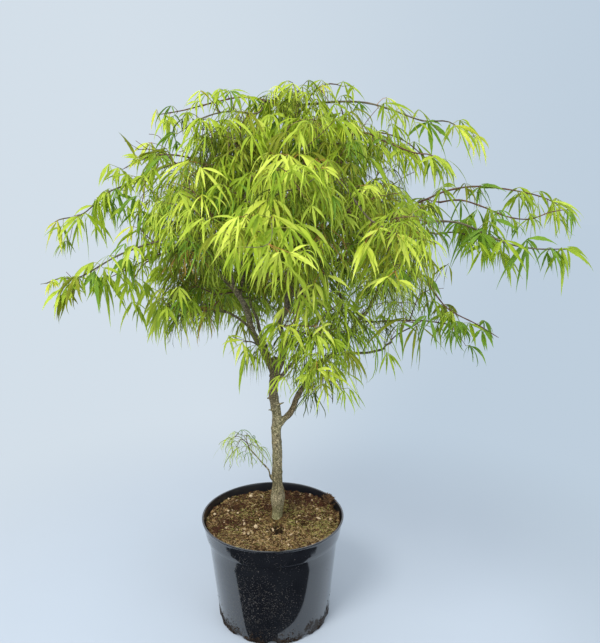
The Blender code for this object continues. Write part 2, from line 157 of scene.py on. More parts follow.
# =============================================================== camera, light, stage
def make_camera():
    data = bpy.data.cameras.new("camera")
    data.sensor_width = 36.0
    data.sensor_fit = "AUTO"
    data.lens = 38.89
    data.shift_y = 0.122
    data.clip_start, data.clip_end = 0.05, 60.0
    cam = bpy.data.objects.new("camera", data)
    cam.location = (0.057, -1.2965, 0.968)
    cam.rotation_euler = (math.radians(69.98), 0.0, 0.0)
    scene.collection.objects.link(cam)
    scene.camera = cam


# painted light: the backdrop is paler on the left and darker on the right
BACK_LEFT = (0.655, 0.737, 0.815)  # what the camera sees behind the plant, left and right
BACK_RIGHT = (0.515, 0.617, 0.722)


def back_tone(new, link, across):
    """The backdrop's colour by how far to the right it lies, from -1 to 1."""
    place = new("ShaderNodeMath")
    place.operation = "MULTIPLY_ADD"
    place.inputs[1].default_value = 1.35
    place.inputs[2].default_value = 0.36
    link(across, place.inputs[0])
    tone = new("ShaderNodeValToRGB")
    tone.color_ramp.interpolation = "EASE"
    tone.color_ramp.elements[0].color = (*BACK_LEFT, 1)
    tone.color_ramp.elements[1].color = (*BACK_RIGHT, 1)
    link(place.outputs[0], tone.inputs["Fac"])
    return tone.outputs[0]


def make_world():
    world = bpy.data.worlds.new("studio")
    scene.world = world
    world.use_nodes = True
    nt = world.node_tree
    nt.nodes.clear()
    new, link = nt.nodes.new, nt.links.new
    out = new("ShaderNodeOutputWorld")
    mix = new("ShaderNodeMixShader")
    path = new("ShaderNodeLightPath")
    seen = new("ShaderNodeBackground")
    lit = new("ShaderNodeBackground")
    link(path.outputs["Is Camera Ray"], mix.inputs[0])
    link(lit.outputs[0], mix.inputs[1])
    link(seen.outputs[0], mix.inputs[2])
    link(mix.outputs[0], out.inputs["Surface"])
    # a bright ceiling and side walls, with the dark room in front of the plant
    where = new("ShaderNodeTexCoord")
    part = new("ShaderNodeSeparateXYZ")
    link(where.outputs["Generated"], part.inputs[0])
    link(back_tone(new, link, part.outputs[0]), seen.inputs["Color"])

    def maths(op, a, b=None, clamp=False):
        n = new("ShaderNodeMath")
        n.operation = op
        n.use_clamp = clamp
        for i, v in enumerate((a, b)):
            if v is None:
                continue
            if isinstance(v, (int, float)):
                n.inputs[i].default_value = v
            else:
                link(v, n.inputs[i])
        return n.outputs[0]

    high = maths("MULTIPLY", maths("ADD", part.outputs[2], 0.10), 1.4, clamp=True)
    level = maths("ADD", maths("MULTIPLY", high, 0.66), 0.38)
    link(level, lit.inputs["Strength"])
    lit.inputs["Color"].default_value = (0.88, 0.94, 1.0, 1)


def area_light(name, place, aim, size, power, colour):
    data = bpy.data.lights.new(name, "AREA")
    data.shape = "DISK"
    data.size = size
    data.energy = power
    data.color = colour
    lamp = bpy.data.objects.new(name, data)
    lamp.location = place
    way = Vector(aim) - Vector(place)
    lamp.rotation_euler = way.to_track_quat("-Z", "Y").to_euler()
    lamp.visible_camera = False
    lamp.visible_glossy = False
    scene.collection.objects.link(lamp)


def make_lights():
    area_light("key", (-0.9, -1.6, 2.5), (0.05, -0.02, 0.80), 1.1, 62.0, (1.0, 0.985, 0.95))
    area_light("fill", (1.5, -1.5, 1.5), (0.05, -0.02, 0.65), 1.6, 12.0, (0.93, 0.97, 1.0))
    area_light("low", (-0.1, -1.9, 0.75), (0.05, 0.0, 0.55), 1.2, 7.0, (1.0, 1.0, 1.0))


def nodes_of(mat):
    mat.use_nodes = True
    nt = mat.node_tree
    return nt, nt.nodes["Principled BSDF"], nt.nodes.new, nt.links.new


def make_floor():
    bm = bmesh.new()
    bmesh.ops.create_circle(bm, cap_ends=True, segments=96, radius=9.0)
    mesh = bpy.data.meshes.new("floor")
    bm.to_mesh(mesh)
    bm.free()
    floor = bpy.data.objects.new("floor", mesh)
    floor.location = (0, 0, -0.0006)
    scene.collection.objects.link(floor)
    mat = bpy.data.materials.new("floor")
    nt, shader, new, link = nodes_of(mat)
    where = new("ShaderNodeTexCoord")
    soft = new("ShaderNodeTexNoise")
    soft.inputs["Scale"].default_value = 1.3
    soft.inputs["Detail"].default_value = 3.0
    link(where.outputs["Object"], soft.inputs["Vector"])
    tone = new("ShaderNodeValToRGB")
    tone.color_ramp.elements[0].color = (0.42, 0.475, 0.55, 1)
    tone.color_ramp.elements[1].color = (0.47, 0.525, 0.595, 1)
    link(soft.outputs["Fac"], tone.inputs["Fac"])
    place = new("ShaderNodeSeparateXYZ")
    link(where.outputs["Object"], place.inputs[0])
    # the light falls off to the right
    shade = ramp(new, link, reach(new, link, place.outputs[0], 0.42, 0.95, 0.0, 1.0, True),
                 ((0.0, (1.0, 1.0, 1.0)), (1.0, (0.84, 0.84, 0.83))))
    link(blend(new, link, 1.0, tone.outputs[0], shade, "MULTIPLY"), shader.inputs["Base Color"])
    shader.inputs["Roughness"].default_value = 0.62
    # far from the plant the floor melts into the backdrop: there it is an emission in the backdrop's tones, a painted
    # glow
    far = new("ShaderNodeVectorMath")
    far.operation = "LENGTH"
    link(where.outputs["Object"], far.inputs[0])
    fade = new("ShaderNodeMapRange")
    fade.interpolation_type = "SMOOTHSTEP"
    fade.inputs["From Min"].default_value = 0.30
    fade.inputs["From Max"].default_value = 1.25
    link(far.outputs["Value"], fade.inputs["Value"])
    glow = new("ShaderNodeEmission")
    ray = new("ShaderNodeVectorMath")
    ray.operation = "NORMALIZE"
    link(where.outputs["Object"], ray.inputs[0])
    split = new("ShaderNodeSeparateXYZ")
    link(ray.outputs[0], split.inputs[0])
    link(back_tone(new, link, split.outputs[0]), glow.inputs["Color"])
    mix = new("ShaderNodeMixShader")
    link(fade.outputs[0], mix.inputs[0])
    link(shader.outputs[0], mix.inputs[1])
    link(glow.outputs[0], mix.inputs[2])
    # for its gloss the pale floor ends just in front of the pot: there gloss rays meet a dark emission, a painted
    # reflection of a dark room;
    # the edge runs askew on the left, and further back where only the band looks at it
    across = reach(new, link, place.outputs[0], -0.5, 0.5, 0.0, 1.0)
    edge = ramp(new, link, across, tuple(
        (at, (v, v, v)) for at, v in (
            (0.0, 0.56), (0.18, 0.54), (0.20, 0.42), (0.25, 0.352), (0.294, 0.376), (0.362, 0.44), (0.432, 0.528),
            (0.512, 0.58), (0.514, 0.416), (0.55, 0.392), (0.66, 0.392), (0.78, 0.34), (0.80, 0.46), (0.82, 0.50),
            (1.0, 0.52))))
    ahead = new("ShaderNodeMath")
    ahead.operation = "LESS_THAN"
    link(place.outputs[1], ahead.inputs[0])
    link(reach(new, link, edge, 0.0, 1.0, -0.25, 0.0), ahead.inputs[1])
    path = new("ShaderNodeLightPath")
    share = times(new, link, path.outputs["Is Glossy Ray"], ahead.outputs[0])
    painted_room_reflection = new("ShaderNodeEmission")
    clouded = noise_of(new, link, where.outputs["Object"], 7.0, 3.0)
    link(ramp(new, link, clouded, ((0.35, (0.014, 0.016, 0.020)), (0.65, (0.034, 0.038, 0.044)))), painted_room_reflection.inputs["Color"])
    painted_reflection_mix = new("ShaderNodeMixShader")
    link(share, painted_reflection_mix.inputs[0])
    link(mix.outputs[0], painted_reflection_mix.inputs[1])
    link(painted_room_reflection.outputs[0], painted_reflection_mix.inputs[2])
    link(painted_reflection_mix.outputs[0], nt.nodes["Material Output"].inputs["Surface"])
    mesh.materials.append(mat)


# =============================================================== mesh helpers
def make_piece(name, points, polys, mat, nodes=(), smooth=True):
    """A mesh object from an array of points and arrays of equal-sided faces."""
    mesh = bpy.data.meshes.new(name)
    points = np.asarray(points, dtype=np.float32)
    mesh.vertices.add(len(points))
    mesh.vertices.foreach_set("co", points.ravel())
    polys = [np.asarray(p, dtype=np.int32) for p in polys if len(p)]
    loops = np.concatenate([p.ravel() for p in polys])
    sizes = np.concatenate([np.full(len(p), p.shape[1], np.int32) for p in polys])
    starts = np.concatenate(([0], np.cumsum(sizes)[:-1])).astype(np.int32)
    mesh.loops.add(len(loops))
    mesh.loops.foreach_set("vertex_index", loops)
    mesh.polygons.add(len(sizes))
    mesh.polygons.foreach_set("loop_start", starts)
    mesh.polygons.foreach_set("use_smooth", np.full(len(sizes), smooth, bool))
    mesh.update(calc_edges=True)
    mesh.materials.append(mat)
    made = bpy.data.objects.new(name, mesh)
    scene.collection.objects.link(made)
    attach(made, "root")
    if nodes:
        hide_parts(*nodes)
    return made


def unit(v):
    v = np.asarray(v, dtype=float)
    return v / np.maximum(np.linalg.norm(v, axis=-1, keepdims=True), 1e-9)


def through(points, step):
    """A smooth curve through the points (Catmull-Rom), with a point about every step."""
    p = np.asarray(points, dtype=float)
    p = np.vstack((2 * p[0] - p[1], p, 2 * p[-1] - p[-2]))
    out = []
    for k in range(1, len(p) - 2):
        a, b, c, d = p[k - 1 : k + 3]
        n = max(2, int(round(np.linalg.norm(c - b) / step)))
        t = np.arange(n)[:, None] / n
        out.append(
            0.5
            * (
                2 * b
                + (c - a) * t
                + (2 * a - 5 * b + 4 * c - d) * t**2
                + (3 * b - a - 3 * c + d) * t**3
            )
        )
    out.append(p[-2][None])
    return np.vstack(out)


def frames_along(line):
    """Tangent and two side vectors at each point, without needless turning."""
    ahead = np.gradient(line, axis=0)
    ahead = unit(ahead)
    side = np.array((0.3, -1.0, 0.1))
    sides = np.empty_like(line)
    for i, t in enumerate(ahead):
        side = side - side.dot(t) * t
        n = math.sqrt(side.dot(side))
        if n < 1e-5:
            side = np.array((0.0, 0.3, 1.0))
            side = side - side.dot(t) * t
            n = math.sqrt(side.dot(side))
        side = side / n
        sides[i] = side
    return ahead, sides, np.cross(ahead, sides)


def tubes(limbs, sides):
    """Points and faces of many tapering limbs: each is (line, radii) and ends in a tip."""
    points, quads, tris, caps, base = [], [], [], [], 0
    turn = math.tau * np.arange(sides) / sides
    c, s = np.cos(turn)[None, :, None], np.sin(turn)[None, :, None]
    for line, radii in limbs:
        _, u, v = frames_along(line)
        n = len(line)
        ring = line[:, None] + radii[:, None, None] * (c * u[:, None] + s * v[:, None])
        tip = line[-1] + unit(line[-1] - line[-2]) * radii[-1] * 1.5
        points.append(ring.reshape(-1, 3))
        points.append(tip[None])
        i = np.arange(n - 1)[:, None] * sides + base
        k = np.arange(sides)[None]
        j = (k + 1) % sides
        quads.append(
            np.stack((i + k, i + j, i + j + sides, i + k + sides), -1).reshape(-1, 4)
        )
        last = base + (n - 1) * sides
        top = base + n * sides
        tris.append(
            np.stack(
                (last + k[0], last + j[0], np.full(sides, top)), -1
            )
        )
        caps.append((base + np.arange(sides)[::-1])[None])
        base = top + 1
    return np.vstack(points), [np.vstack(quads), np.vstack(tris), np.vstack(caps)]


# =============================================================== materials
def leaf_material(name, dark, light, through_colour, rough=0.42, share=0.34, gloss=0.42):
    mat = bpy.data.materials.new(name)
    nt, shader, new, link = nodes_of(mat)
    at = new("ShaderNodeTexCoord").outputs["Object"]
    broad = noise_of(new, link, at, 26.0, 3.0)
    fine = noise_of(new, link, at, 420.0, 2.0)
    both = blend(new, link, 0.14, broad, fine)
    colour = ramp(new, link, both, ((0.34, dark), (0.66, light)))
    link(colour, shader.inputs["Base Color"])
    link(reach(new, link, fine, 0.3, 0.7, rough - 0.07, rough + 0.10), shader.inputs["Roughness"])
    shader.inputs["Specular IOR Level"].default_value = gloss
    bumped(new, link, fine, 0.10, 0.0005, shader)
    glow = new("ShaderNodeBsdfTranslucent")
    glow.inputs["Color"].default_value = (*through_colour, 1)
    mix = new("ShaderNodeMixShader")
    mix.inputs[0].default_value = share
    link(shader.outputs[0], mix.inputs[1])
    link(glow.outputs[0], mix.inputs[2])
    link(mix.outputs[0], nt.nodes["Material Output"].inputs["Surface"])
    return mat


def twig_material(name, dark, light, rough=0.55, fleck=None):
    mat = bpy.data.materials.new(name)
    nt, shader, new, link = nodes_of(mat)
    at = new("ShaderNodeTexCoord").outputs["Object"]
    broad = noise_of(new, link, at, 38.0, 4.0)
    colour = ramp(new, link, broad, ((0.32, dark), (0.68, light)))
    if fleck:
        spots = noise_of(new, link, at, 620.0, 2.0)
        colour = blend(
            new, link, reach(new, link, spots, 0.62, 0.72, 0.0, 0.7), colour, fleck
        )
    link(colour, shader.inputs["Base Color"])
    fine = noise_of(new, link, at, 900.0, 3.0)
    link(reach(new, link, fine, 0.3, 0.7, rough - 0.1, rough + 0.12), shader.inputs["Roughness"])
    shader.inputs["Specular IOR Level"].default_value = 0.4
    bumped(new, link, fine, 0.4, 0.0004, shader)
    return mat


def bark_material():
    mat = bpy.data.materials.new("bark_olive")
    nt, shader, new, link = nodes_of(mat)
    at = new("ShaderNodeTexCoord").outputs["Object"]
    broad = noise_of(new, link, at, 30.0, 5.0, 0.6)
    grain = noise_of(new, link, at, 250.0, 5.0, 0.68, stretch=(1.0, 1.0, 0.50))
    flecks = noise_of(new, link, at, 300.0, 3.0, 0.5, stretch=(1.0, 1.0, 1.5))
    dots = noise_of(new, link, at, 520.0, 2.0, 0.5)
    colour = ramp(
        new, link, grain,
        ((0.32, (0.040, 0.031, 0.018)), (0.46, (0.130, 0.108, 0.060)),
         (0.56, (0.270, 0.232, 0.140)), (0.70, (0.460, 0.405, 0.270))),
    )
    moss = ramp(new, link, broad, ((0.38, (0.140, 0.150, 0.052)), (0.62, (0.245, 0.200, 0.125))))
    colour = blend(new, link, 0.30, colour, moss)
    # tan lenticels, and dark specks and bands
    colour = blend(
        new, link, reach(new, link, flecks, 0.57, 0.64, 0.0, 0.85), colour, (0.56, 0.47, 0.29)
    )
    colour = blend(
        new, link, reach(new, link, dots, 0.44, 0.36, 0.0, 0.85), colour, (0.030, 0.024, 0.015)
    )
    bands = noise_of(new, link, at, 20.0, 3.0, 0.6, stretch=(0.5, 0.5, 3.2))
    colour = blend(
        new, link, reach(new, link, bands, 0.66, 0.74, 0.0, 0.50), colour, (0.075, 0.062, 0.035)
    )
    # a duller stretch just above the graft
    parts = new("ShaderNodeSeparateXYZ")
    link(at, parts.inputs[0])
    dull = times(new, link, reach(new, link, parts.outputs[2], 0.285, 0.300, 0.0, 0.85, True), reach(new, link, parts.outputs[2], 0.365, 0.335))
    colour = blend(new, link, dull, colour, blend(new, link, 1.0, colour, (0.70, 0.69, 0.64), "MULTIPLY"))
    # the upper limbs are younger and darker
    young = new("ShaderNodeMath")
    young.operation = "MAXIMUM"
    link(reach(new, link, parts.outputs[2], 0.44, 0.56, 0.0, 0.72, True), young.inputs[0])
    # and so is the right limb from its foot on
    link(times(new, link, reach(new, link, parts.outputs[0], 0.021, 0.034), reach(new, link, parts.outputs[2], 0.425, 0.45, 0.0, 0.80)),
         young.inputs[1])
    # but the left bough is paler up to where it bends out
    pale = times(new, link, reach(new, link, parts.outputs[0], -0.008, -0.026, 0.0, 0.62), reach(new, link, parts.outputs[2], 0.735, 0.700))
    young = times(new, link, young.outputs[0], reach(new, link, pale, 0.0, 1.0, 1.0, 0.0))
    colour = blend(new, link, young, colour, blend(new, link, 1.0, colour, (0.42, 0.37, 0.32), "MULTIPLY"))
    # greener moss film at the foot
    foot = reach(new, link, parts.outputs[2], 0.275, 0.232, 0.0, 0.55, True)
    colour = blend(new, link, times(new, link, foot, broad), colour, (0.16, 0.19, 0.05))
    link(colour, shader.inputs["Base Color"])
    link(reach(new, link, grain, 0.3, 0.7, 0.72, 0.92), shader.inputs["Roughness"])
    shader.inputs["Specular IOR Level"].default_value = 0.3
    first = bumped(new, link, grain, 0.85, 0.0018, None)
    second = bumped(new, link, flecks, 0.6, 0.0010, shader, first)
    return mat


def pot_material():
    mat = bpy.data.materials.new("pot_black_plastic")
    nt, shader, new, link = nodes_of(mat)
    at = new("ShaderNodeTexCoord").outputs["Object"]
    parts = new("ShaderNodeSeparateXYZ")
    link(at, parts.inputs[0])
    x, y, z = parts.outputs
    fine = noise_of(new, link, at, 900.0, 3.0)
    wear = noise_of(new, link, at, 22.0, 5.0, 0.6)
    base = ramp(new, link, wear, ((0.35, (0.0055, 0.0062, 0.0085)), (0.70, (0.0100, 0.0112, 0.0140))))
    # splashed specks of compost and dried water: dense in patches, in three sizes
    patches = noise_of(new, link, at, 13.0, 4.0, 0.65)
    lower = reach(new, link, z, 0.215, 0.03, 0.0, 1.0)
    front = reach(new, link, y, 0.06, -0.08, 0.20, 1.0)
    left = reach(new, link, x, 0.070, -0.030, 0.14, 1.0)
    amount = times(new, link, times(new, link, reach(new, link, patches, 0.34, 0.60), times(new, link, front, left)),
                   reach(new, link, lower, 0.0, 0.7, 0.45, 1.0))
    # the inside is duller than the outside and free of specks; its dark bluish colour is painted shade and reflection
    flat = new("ShaderNodeCombineXYZ")
    link(x, flat.inputs[0])
    link(y, flat.inputs[1])
    girth = new("ShaderNodeVectorMath")
    girth.operation = "LENGTH"
    link(flat.outputs[0], girth.inputs[0])
    within = new("ShaderNodeMath")
    within.operation = "LESS_THAN"
    link(girth.outputs["Value"], within.inputs[0])
    link(reach(new, link, z, 0.200, 0.240, 0.1402, 0.1463), within.inputs[1])
    within = times(new, link, within.outputs[0], reach(new, link, z, 0.2015, 0.2020))
    outside = reach(new, link, within, 0.0, 1.0, 1.0, 0.0)
    amount = times(new, link, amount, outside)
    mask = None
    for scale, size, share in ((170.0, 0.20, 0.13), (320.0, 0.28, 0.44), (560.0, 0.34, 0.60)):
        cell = new("ShaderNodeTexVoronoi")
        cell.inputs["Scale"].default_value = scale
        link(at, cell.inputs["Vector"])
        deal = new("ShaderNodeSeparateXYZ")
        link(cell.outputs["Color"], deal.inputs[0])
        # a cell holds a speck where its own chance is under the local amount
        less = new("ShaderNodeMath")
        less.operation = "LESS_THAN"
        link(deal.outputs[0], less.inputs[0])
        link(times(new, link, amount, share), less.inputs[1])
        spot = times(new, link, reach(new, link, cell.outputs["Distance"], size, size * 0.55), less.outputs[0])
        if mask is None:
            mask = spot
        else:
            m = new("ShaderNodeMath")
            m.operation = "MAXIMUM"
            link(mask, m.inputs[0])
            link(spot, m.inputs[1])
            mask = m.outputs[0]
    dust_tone = noise_of(new, link, at, 260.0, 2.0)
    dust = ramp(new, link, dust_tone, ((0.38, (0.060, 0.046, 0.034)), (0.62, (0.22, 0.195, 0.165))))
    colour = blend(new, link, times(new, link, mask, 0.85), base, dust)
    # brown smears that run up from the foot
    smear_n = noise_of(new, link, at, 34.0, 7.0, 0.74, stretch=(1.0, 1.0, 0.60))
    rise = reach(new, link, z, 0.075, 0.0, 0.0, 0.25)
    # it reaches higher at the sides than in front
    sides = times(new, link, reach(new, link, times(new, link, x, x), 0.0016, 0.0090, 0.0, 0.10),
                  reach(new, link, z, 0.085, 0.03, 0.0, 1.0))
    more = new("ShaderNodeMath")
    more.operation = "ADD"
    link(rise, more.inputs[0])
    link(sides, more.inputs[1])
    add = new("ShaderNodeMath")
    add.operation = "ADD"
    crumbs = noise_of(new, link, at, 150.0, 4.0, 0.7)
    link(blend(new, link, 0.26, smear_n, crumbs), add.inputs[0])
    link(more.outputs[0], add.inputs[1])
    smear = reach(new, link, add.outputs[0], 0.735, 0.760, 0.0, 0.92)
    grit = noise_of(new, link, at, 420.0, 3.0, 0.6)
    soil = ramp(new, link, grit, ((0.40, (0.0025, 0.0017, 0.0013)), (0.70, (0.046, 0.030, 0.019))))
    smear = times(new, link, smear, reach(new, link, grit, 0.36, 0.50, 0.2, 1.0))
    colour = blend(new, link, smear, colour, soil)
    # paler in patches along the top edge of the rim
    edge = reach(new, link, z, 0.2365, 0.2398, 0.0, 0.30)
    colour = blend(new, link, times(new, link, edge, reach(new, link, wear, 0.42, 0.60)), colour, (0.055, 0.060, 0.070))
    # painted shade and reflection: the inside gets a darker, bluish tint
    colour = blend(new, link, times(new, link, within, 0.8), colour, (0.0040, 0.0066, 0.0115))
    link(colour, shader.inputs["Base Color"])
    rough = reach(new, link, wear, 0.30, 0.75, 0.07, 0.13)
    dull = new("ShaderNodeMath")
    dull.operation = "MULTIPLY_ADD"
    dull.inputs[1].default_value = 0.20
    link(within, dull.inputs[0])
    link(rough, dull.inputs[2])
    rough = dull.outputs[0]
    dirty = new("ShaderNodeMath")
    dirty.operation = "MAXIMUM"
    link(mask, dirty.inputs[0])
    link(smear, dirty.inputs[1])
    m = new("ShaderNodeMix")
    m.data_type = "FLOAT"
    link(dirty.outputs[0], m.inputs[0])
    link(rough, m.inputs[2])
    m.inputs[3].default_value = 0.85
    link(m.outputs[0], shader.inputs["Roughness"])
    shader.inputs["Specular IOR Level"].default_value = 0.5
    # the clean plastic has a gloss that the dirt on it lacks
    link(reach(new, link, dirty.outputs[0], 0.0, 0.8, 0.66, 0.0), shader.inputs["Coat Weight"])
    shader.inputs["Coat Roughness"].default_value = 0.09
    shader.inputs["Coat IOR"].default_value = 1.85
    first = bumped(new, link, wear, 0.06, 0.0010, None)
    second = bumped(new, link, fine, 0.03, 0.0003, None, first)
    bumped(new, link, dirty.outputs[0], 0.5, 0.0006, shader, second)
    return mat


def soil_material():
    mat = bpy.data.materials.new("compost_bed")
    nt, shader, new, link = nodes_of(mat)
    at = new("ShaderNodeTexCoord").outputs["Object"]
    broad = noise_of(new, link, at, 26.0, 4.0, 0.6)
    grain = noise_of(new, link, at, 330.0, 5.0, 0.7)
    colour = ramp(
        new, link, grain,
        ((0.32, (0.010, 0.006, 0.004)), (0.47, (0.050, 0.029, 0.013)),
         (0.58, (0.17, 0.108, 0.045)), (0.74, (0.34, 0.25, 0.12))),
    )
    patch = ramp(new, link, broad, ((0.36, (0.30, 0.24, 0.16)), (0.50, (1.0, 0.95, 0.85)), (0.68, (0.62, 0.78, 0.36))))
    colour = blend(new, link, 0.8, colour, patch, "MULTIPLY")
    # painted shade: the deeper hollows are darkened, the more the deeper they are
    for hx, hy, hr, deep in HOLLOWS:
        if deep > 0.0045:
            gap = new("ShaderNodeVectorMath")
            gap.operation = "DISTANCE"
            link(at, gap.inputs[0])
            gap.inputs[1].default_value = (hx, hy, 0.2315 - deep)
            painted_hollow_shade = reach(new, link, gap.outputs["Value"], 1.30 * hr, 0.55 * hr, 0.0, min(0.90, 140 * (deep - 0.003)), True)
            colour = blend(new, link, painted_hollow_shade, colour, (0.0045, 0.0030, 0.0022))
    link(colour, shader.inputs["Base Color"])
    shader.inputs["Roughness"].default_value = 0.95
    shader.inputs["Specular IOR Level"].default_value = 0.2
    bumped(new, link, grain, 0.9, 0.0025, shader)
    return mat


def bits_material(name, stops, scale=210.0, rough=0.9):
    mat = bpy.data.materials.new(name)
    nt, shader, new, link = nodes_of(mat)
    at = new("ShaderNodeTexCoord").outputs["Object"]
    tone = noise_of(new, link, at, scale, 4.0, 0.7)
    link(ramp(new, link, tone, stops), shader.inputs["Base Color"])
    shader.inputs["Roughness"].default_value = rough
    shader.inputs["Specular IOR Level"].default_value = 0.25
    fine = noise_of(new, link, at, 1200.0, 3.0)
    bumped(new, link, fine, 0.6, 0.0006, shader)
    return mat


make_camera()
make_world()
make_lights()
make_floor()


# =============================================================== the pot
POT_HEIGHT, RIM_R, BASE_R, WALL, FLOOR_T = 0.240, 0.1477, 0.1190, 0.0026, 0.0034
BAND_HEIGHT, BAND_R, BAND_PROUD = 0.040, 0.1416, 0.0050
NOTCHES, NOTCH_R = 10, 0.0115


def wall_r(z):
    return BASE_R + (BAND_R - BAND_PROUD - BASE_R) * z / (POT_HEIGHT - BAND_HEIGHT)


def band_r(z):
    return BAND_R + (RIM_R - BAND_R) * (z - POT_HEIGHT + BAND_HEIGHT) / BAND_HEIGHT


def rounded(profile, radius, steps=4):
    """The (r, z) profile with each inner corner rounded off."""
    out = [np.array(profile[0])]
    for a, b, c in zip(profile, profile[1:], profile[2:]):
        a, b, c = map(np.array, (a, b, c))
        la, lc = np.linalg.norm(a - b), np.linalg.norm(c - b)
        cut = min(radius, 0.45 * la, 0.45 * lc)
        p, q = b + (a - b) / la * cut, b + (c - b) / lc * cut
        for k in range(steps + 1):
            t = k / steps
            out.append((1 - t) ** 2 * p + 2 * t * (1 - t) * b + t * t * q)
    out.append(np.array(profile[-1]))
    return np.array(out)


def turned(profile, steps):
    """Points and faces of a (r, z) profile that starts and ends on the axis."""
    inner = profile[1:-1]
    turn = math.tau * np.arange(steps) / steps
    ring = np.stack(
        (
            inner[:, None, 0] * np.cos(turn),
            inner[:, None, 0] * np.sin(turn),
            np.repeat(inner[:, 1:2], steps, 1),
        ),
        -1,
    )
    n = len(inner)
    points = np.vstack(
        (ring.reshape(-1, 3), [[0, 0, profile[0][1]], [0, 0, profile[-1][1]]])
    )
    i = np.arange(n - 1)[:, None] * steps
    k = np.arange(steps)[None]
    j = (k + 1) % steps
    quads = np.stack((i + k, i + j, i + j + steps, i + k + steps), -1).reshape(-1, 4)
    first = np.stack((j[0], k[0], np.full(steps, n * steps)), -1)
    last = (n - 1) * steps
    end = np.stack((last + k[0], last + j[0], np.full(steps, n * steps + 1)), -1)
    return points, [quads, first, end]


def make_pot():
    band = POT_HEIGHT - BAND_HEIGHT
    outer = [
        (0.0, 0.0), (0.030, 0.0), (0.060, 0.0), (BASE_R - 0.020, 0.0), (BASE_R - 0.0012, 0.0),
        (wall_r(0.0050), 0.0050), (wall_r(0.0075), 0.0075),
        *((wall_r(z), z) for z in np.arange(0.02, band - 0.012, 0.012)),
        (wall_r(band) + 0.0001, band - 0.0016), (BAND_R - 0.0006, band + 0.0004),
        (band_r(band + 0.010), band + 0.010), (band_r(POT_HEIGHT - 0.010), POT_HEIGHT - 0.010),
        (band_r(POT_HEIGHT - 0.0042), POT_HEIGHT - 0.0042), (RIM_R + 0.0011, POT_HEIGHT - 0.0028),
        (RIM_R + 0.0010, POT_HEIGHT),
    ]
    inner = [
        (RIM_R - WALL + 0.0002, POT_HEIGHT), (band_r(POT_HEIGHT - 0.010) - WALL, POT_HEIGHT - 0.0100),
        (band_r(band + 0.0050) - WALL, band + 0.0050), (wall_r(band) - WALL, band + 0.0022),
        (wall_r(0.1) - WALL, 0.1), (wall_r(0.0075) - WALL, 0.0085),
        (BASE_R - WALL - 0.004, FLOOR_T), (0.05, FLOOR_T), (0.0, FLOOR_T),
    ]
    points, faces = turned(rounded(outer + inner, 0.0007, 3), 192)
    # the thin moulding isn't quite round
    turn = np.arctan2(points[:, 1], points[:, 0])
    out_of_round = 1 + 0.0016 * np.sin(2 * turn + 0.7) + 0.0007 * np.sin(5 * turn)
    points[:, :2] *= out_of_round[:, None]
    pot = make_piece(
        "pot_moulded", points, faces, pot_material(), ["pot"]
    )
    bm = bmesh.new()
    for i in range(NOTCHES):
        place = (
            Matrix.Rotation(math.tau * (i + 0.5) / NOTCHES, 4, "Z")
            @ Matrix.Translation((BASE_R, 0, -0.0022))
            @ Matrix.Rotation(math.pi / 2, 4, "Y")
        )
        bmesh.ops.create_cone(
            bm, cap_ends=True, segments=28, radius1=NOTCH_R, radius2=NOTCH_R,
            depth=0.026, matrix=place,
        )
    mesh = bpy.data.meshes.new("notches")
    bm.to_mesh(mesh)
    bm.free()
    cutter = bpy.data.objects.new("notches", mesh)
    scene.collection.objects.link(cutter)
    cut = pot.modifiers.new("notches", "BOOLEAN")
    cut.operation = "DIFFERENCE"
    cut.solver = "EXACT"
    cut.object = cutter
    bpy.context.view_layer.update()
    done = bpy.data.meshes.new_from_object(
        pot.evaluated_get(bpy.context.evaluated_depsgraph_get())
    )
    pot.modifiers.clear()
    pot.data = done
    bpy.data.objects.remove(cutter, do_unlink=True)
    done.shade_smooth()
    done.set_sharp_from_angle(angle=math.radians(42))


# =============================================================== the compost
SOIL_BACK, SOIL_FRONT, SOIL_FOOT, SOIL_FOOT_R = 0.2225, 0.2315, 0.2300, 0.030
FOOT = np.array((0.008, 0.0))
SOIL_R = band_r(0.2205) - WALL - 0.0003
# hollows: (x, y, radius, depth)
HOLLOWS = (
    (0.009, -0.044, 0.0175, 0.0086), (-0.080, 0.056, 0.015, 0.0054),
    (-0.020, 0.048, 0.013, 0.0054), (0.065, -0.022, 0.010, 0.0070),
    (0.052, 0.088, 0.018, 0.005), (0.117, -0.008, 0.011, 0.005),
    (-0.092, -0.020, 0.011, 0.004), (0.108, 0.070, 0.012, 0.005),
    (-0.030, -0.030, 0.010, 0.004), (0.030, -0.095, 0.012, 0.003),
)
MOSSY = ((0.046, 0.032, 0.024), (0.098, -0.038, 0.036), (0.036, -0.017, 0.020),
         (-0.050, 0.020, 0.030), (0.112, 0.040, 0.026), (-0.085, -0.045, 0.018),
         (0.020, 0.060, 0.022), (0.012, -0.006, 0.020))


def soil_height(x, y):
    """The bed's surface, level round the foot and higher in front."""
    lean = (0.35 * x - y) / RIM_R
    level = (SOIL_BACK + SOIL_FRONT) / 2 + (SOIL_FRONT - SOIL_BACK) / 2 * np.clip(lean, -1, 1)
    away = np.hypot(x - FOOT[0], y - FOOT[1])
    b = np.clip((away - SOIL_FOOT_R) / 0.035, 0, 1)
    b = b * b * (3 - 2 * b)
    z = SOIL_FOOT * (1 - b) + level * b
    for hx, hy, hr, deep in HOLLOWS:
        z = z - deep * np.exp(-(((x - hx) ** 2 + (y - hy) ** 2) / hr**2) ** 1.3)
    return z


def mossiness(x, y):
    m = np.zeros_like(x)
    for mx, my, mr in MOSSY:
        m = np.maximum(m, np.exp(-((x - mx) ** 2 + (y - my) ** 2) / mr**2))
    return m


def rough_ground(x, y):
    out = np.empty(len(x))
    for i, (a, b) in enumerate(zip(x, y)):
        p = Vector((a, b, 0.0))
        out[i] = (
            0.0044 * noise.noise(p * 36.0)
            + 0.0058 * noise.noise(p * 95.0 + Vector((3, 1, 7)))
            + 0.0016 * noise.noise(p * 300.0 + Vector((8, 2, 5)))
        )
    return out


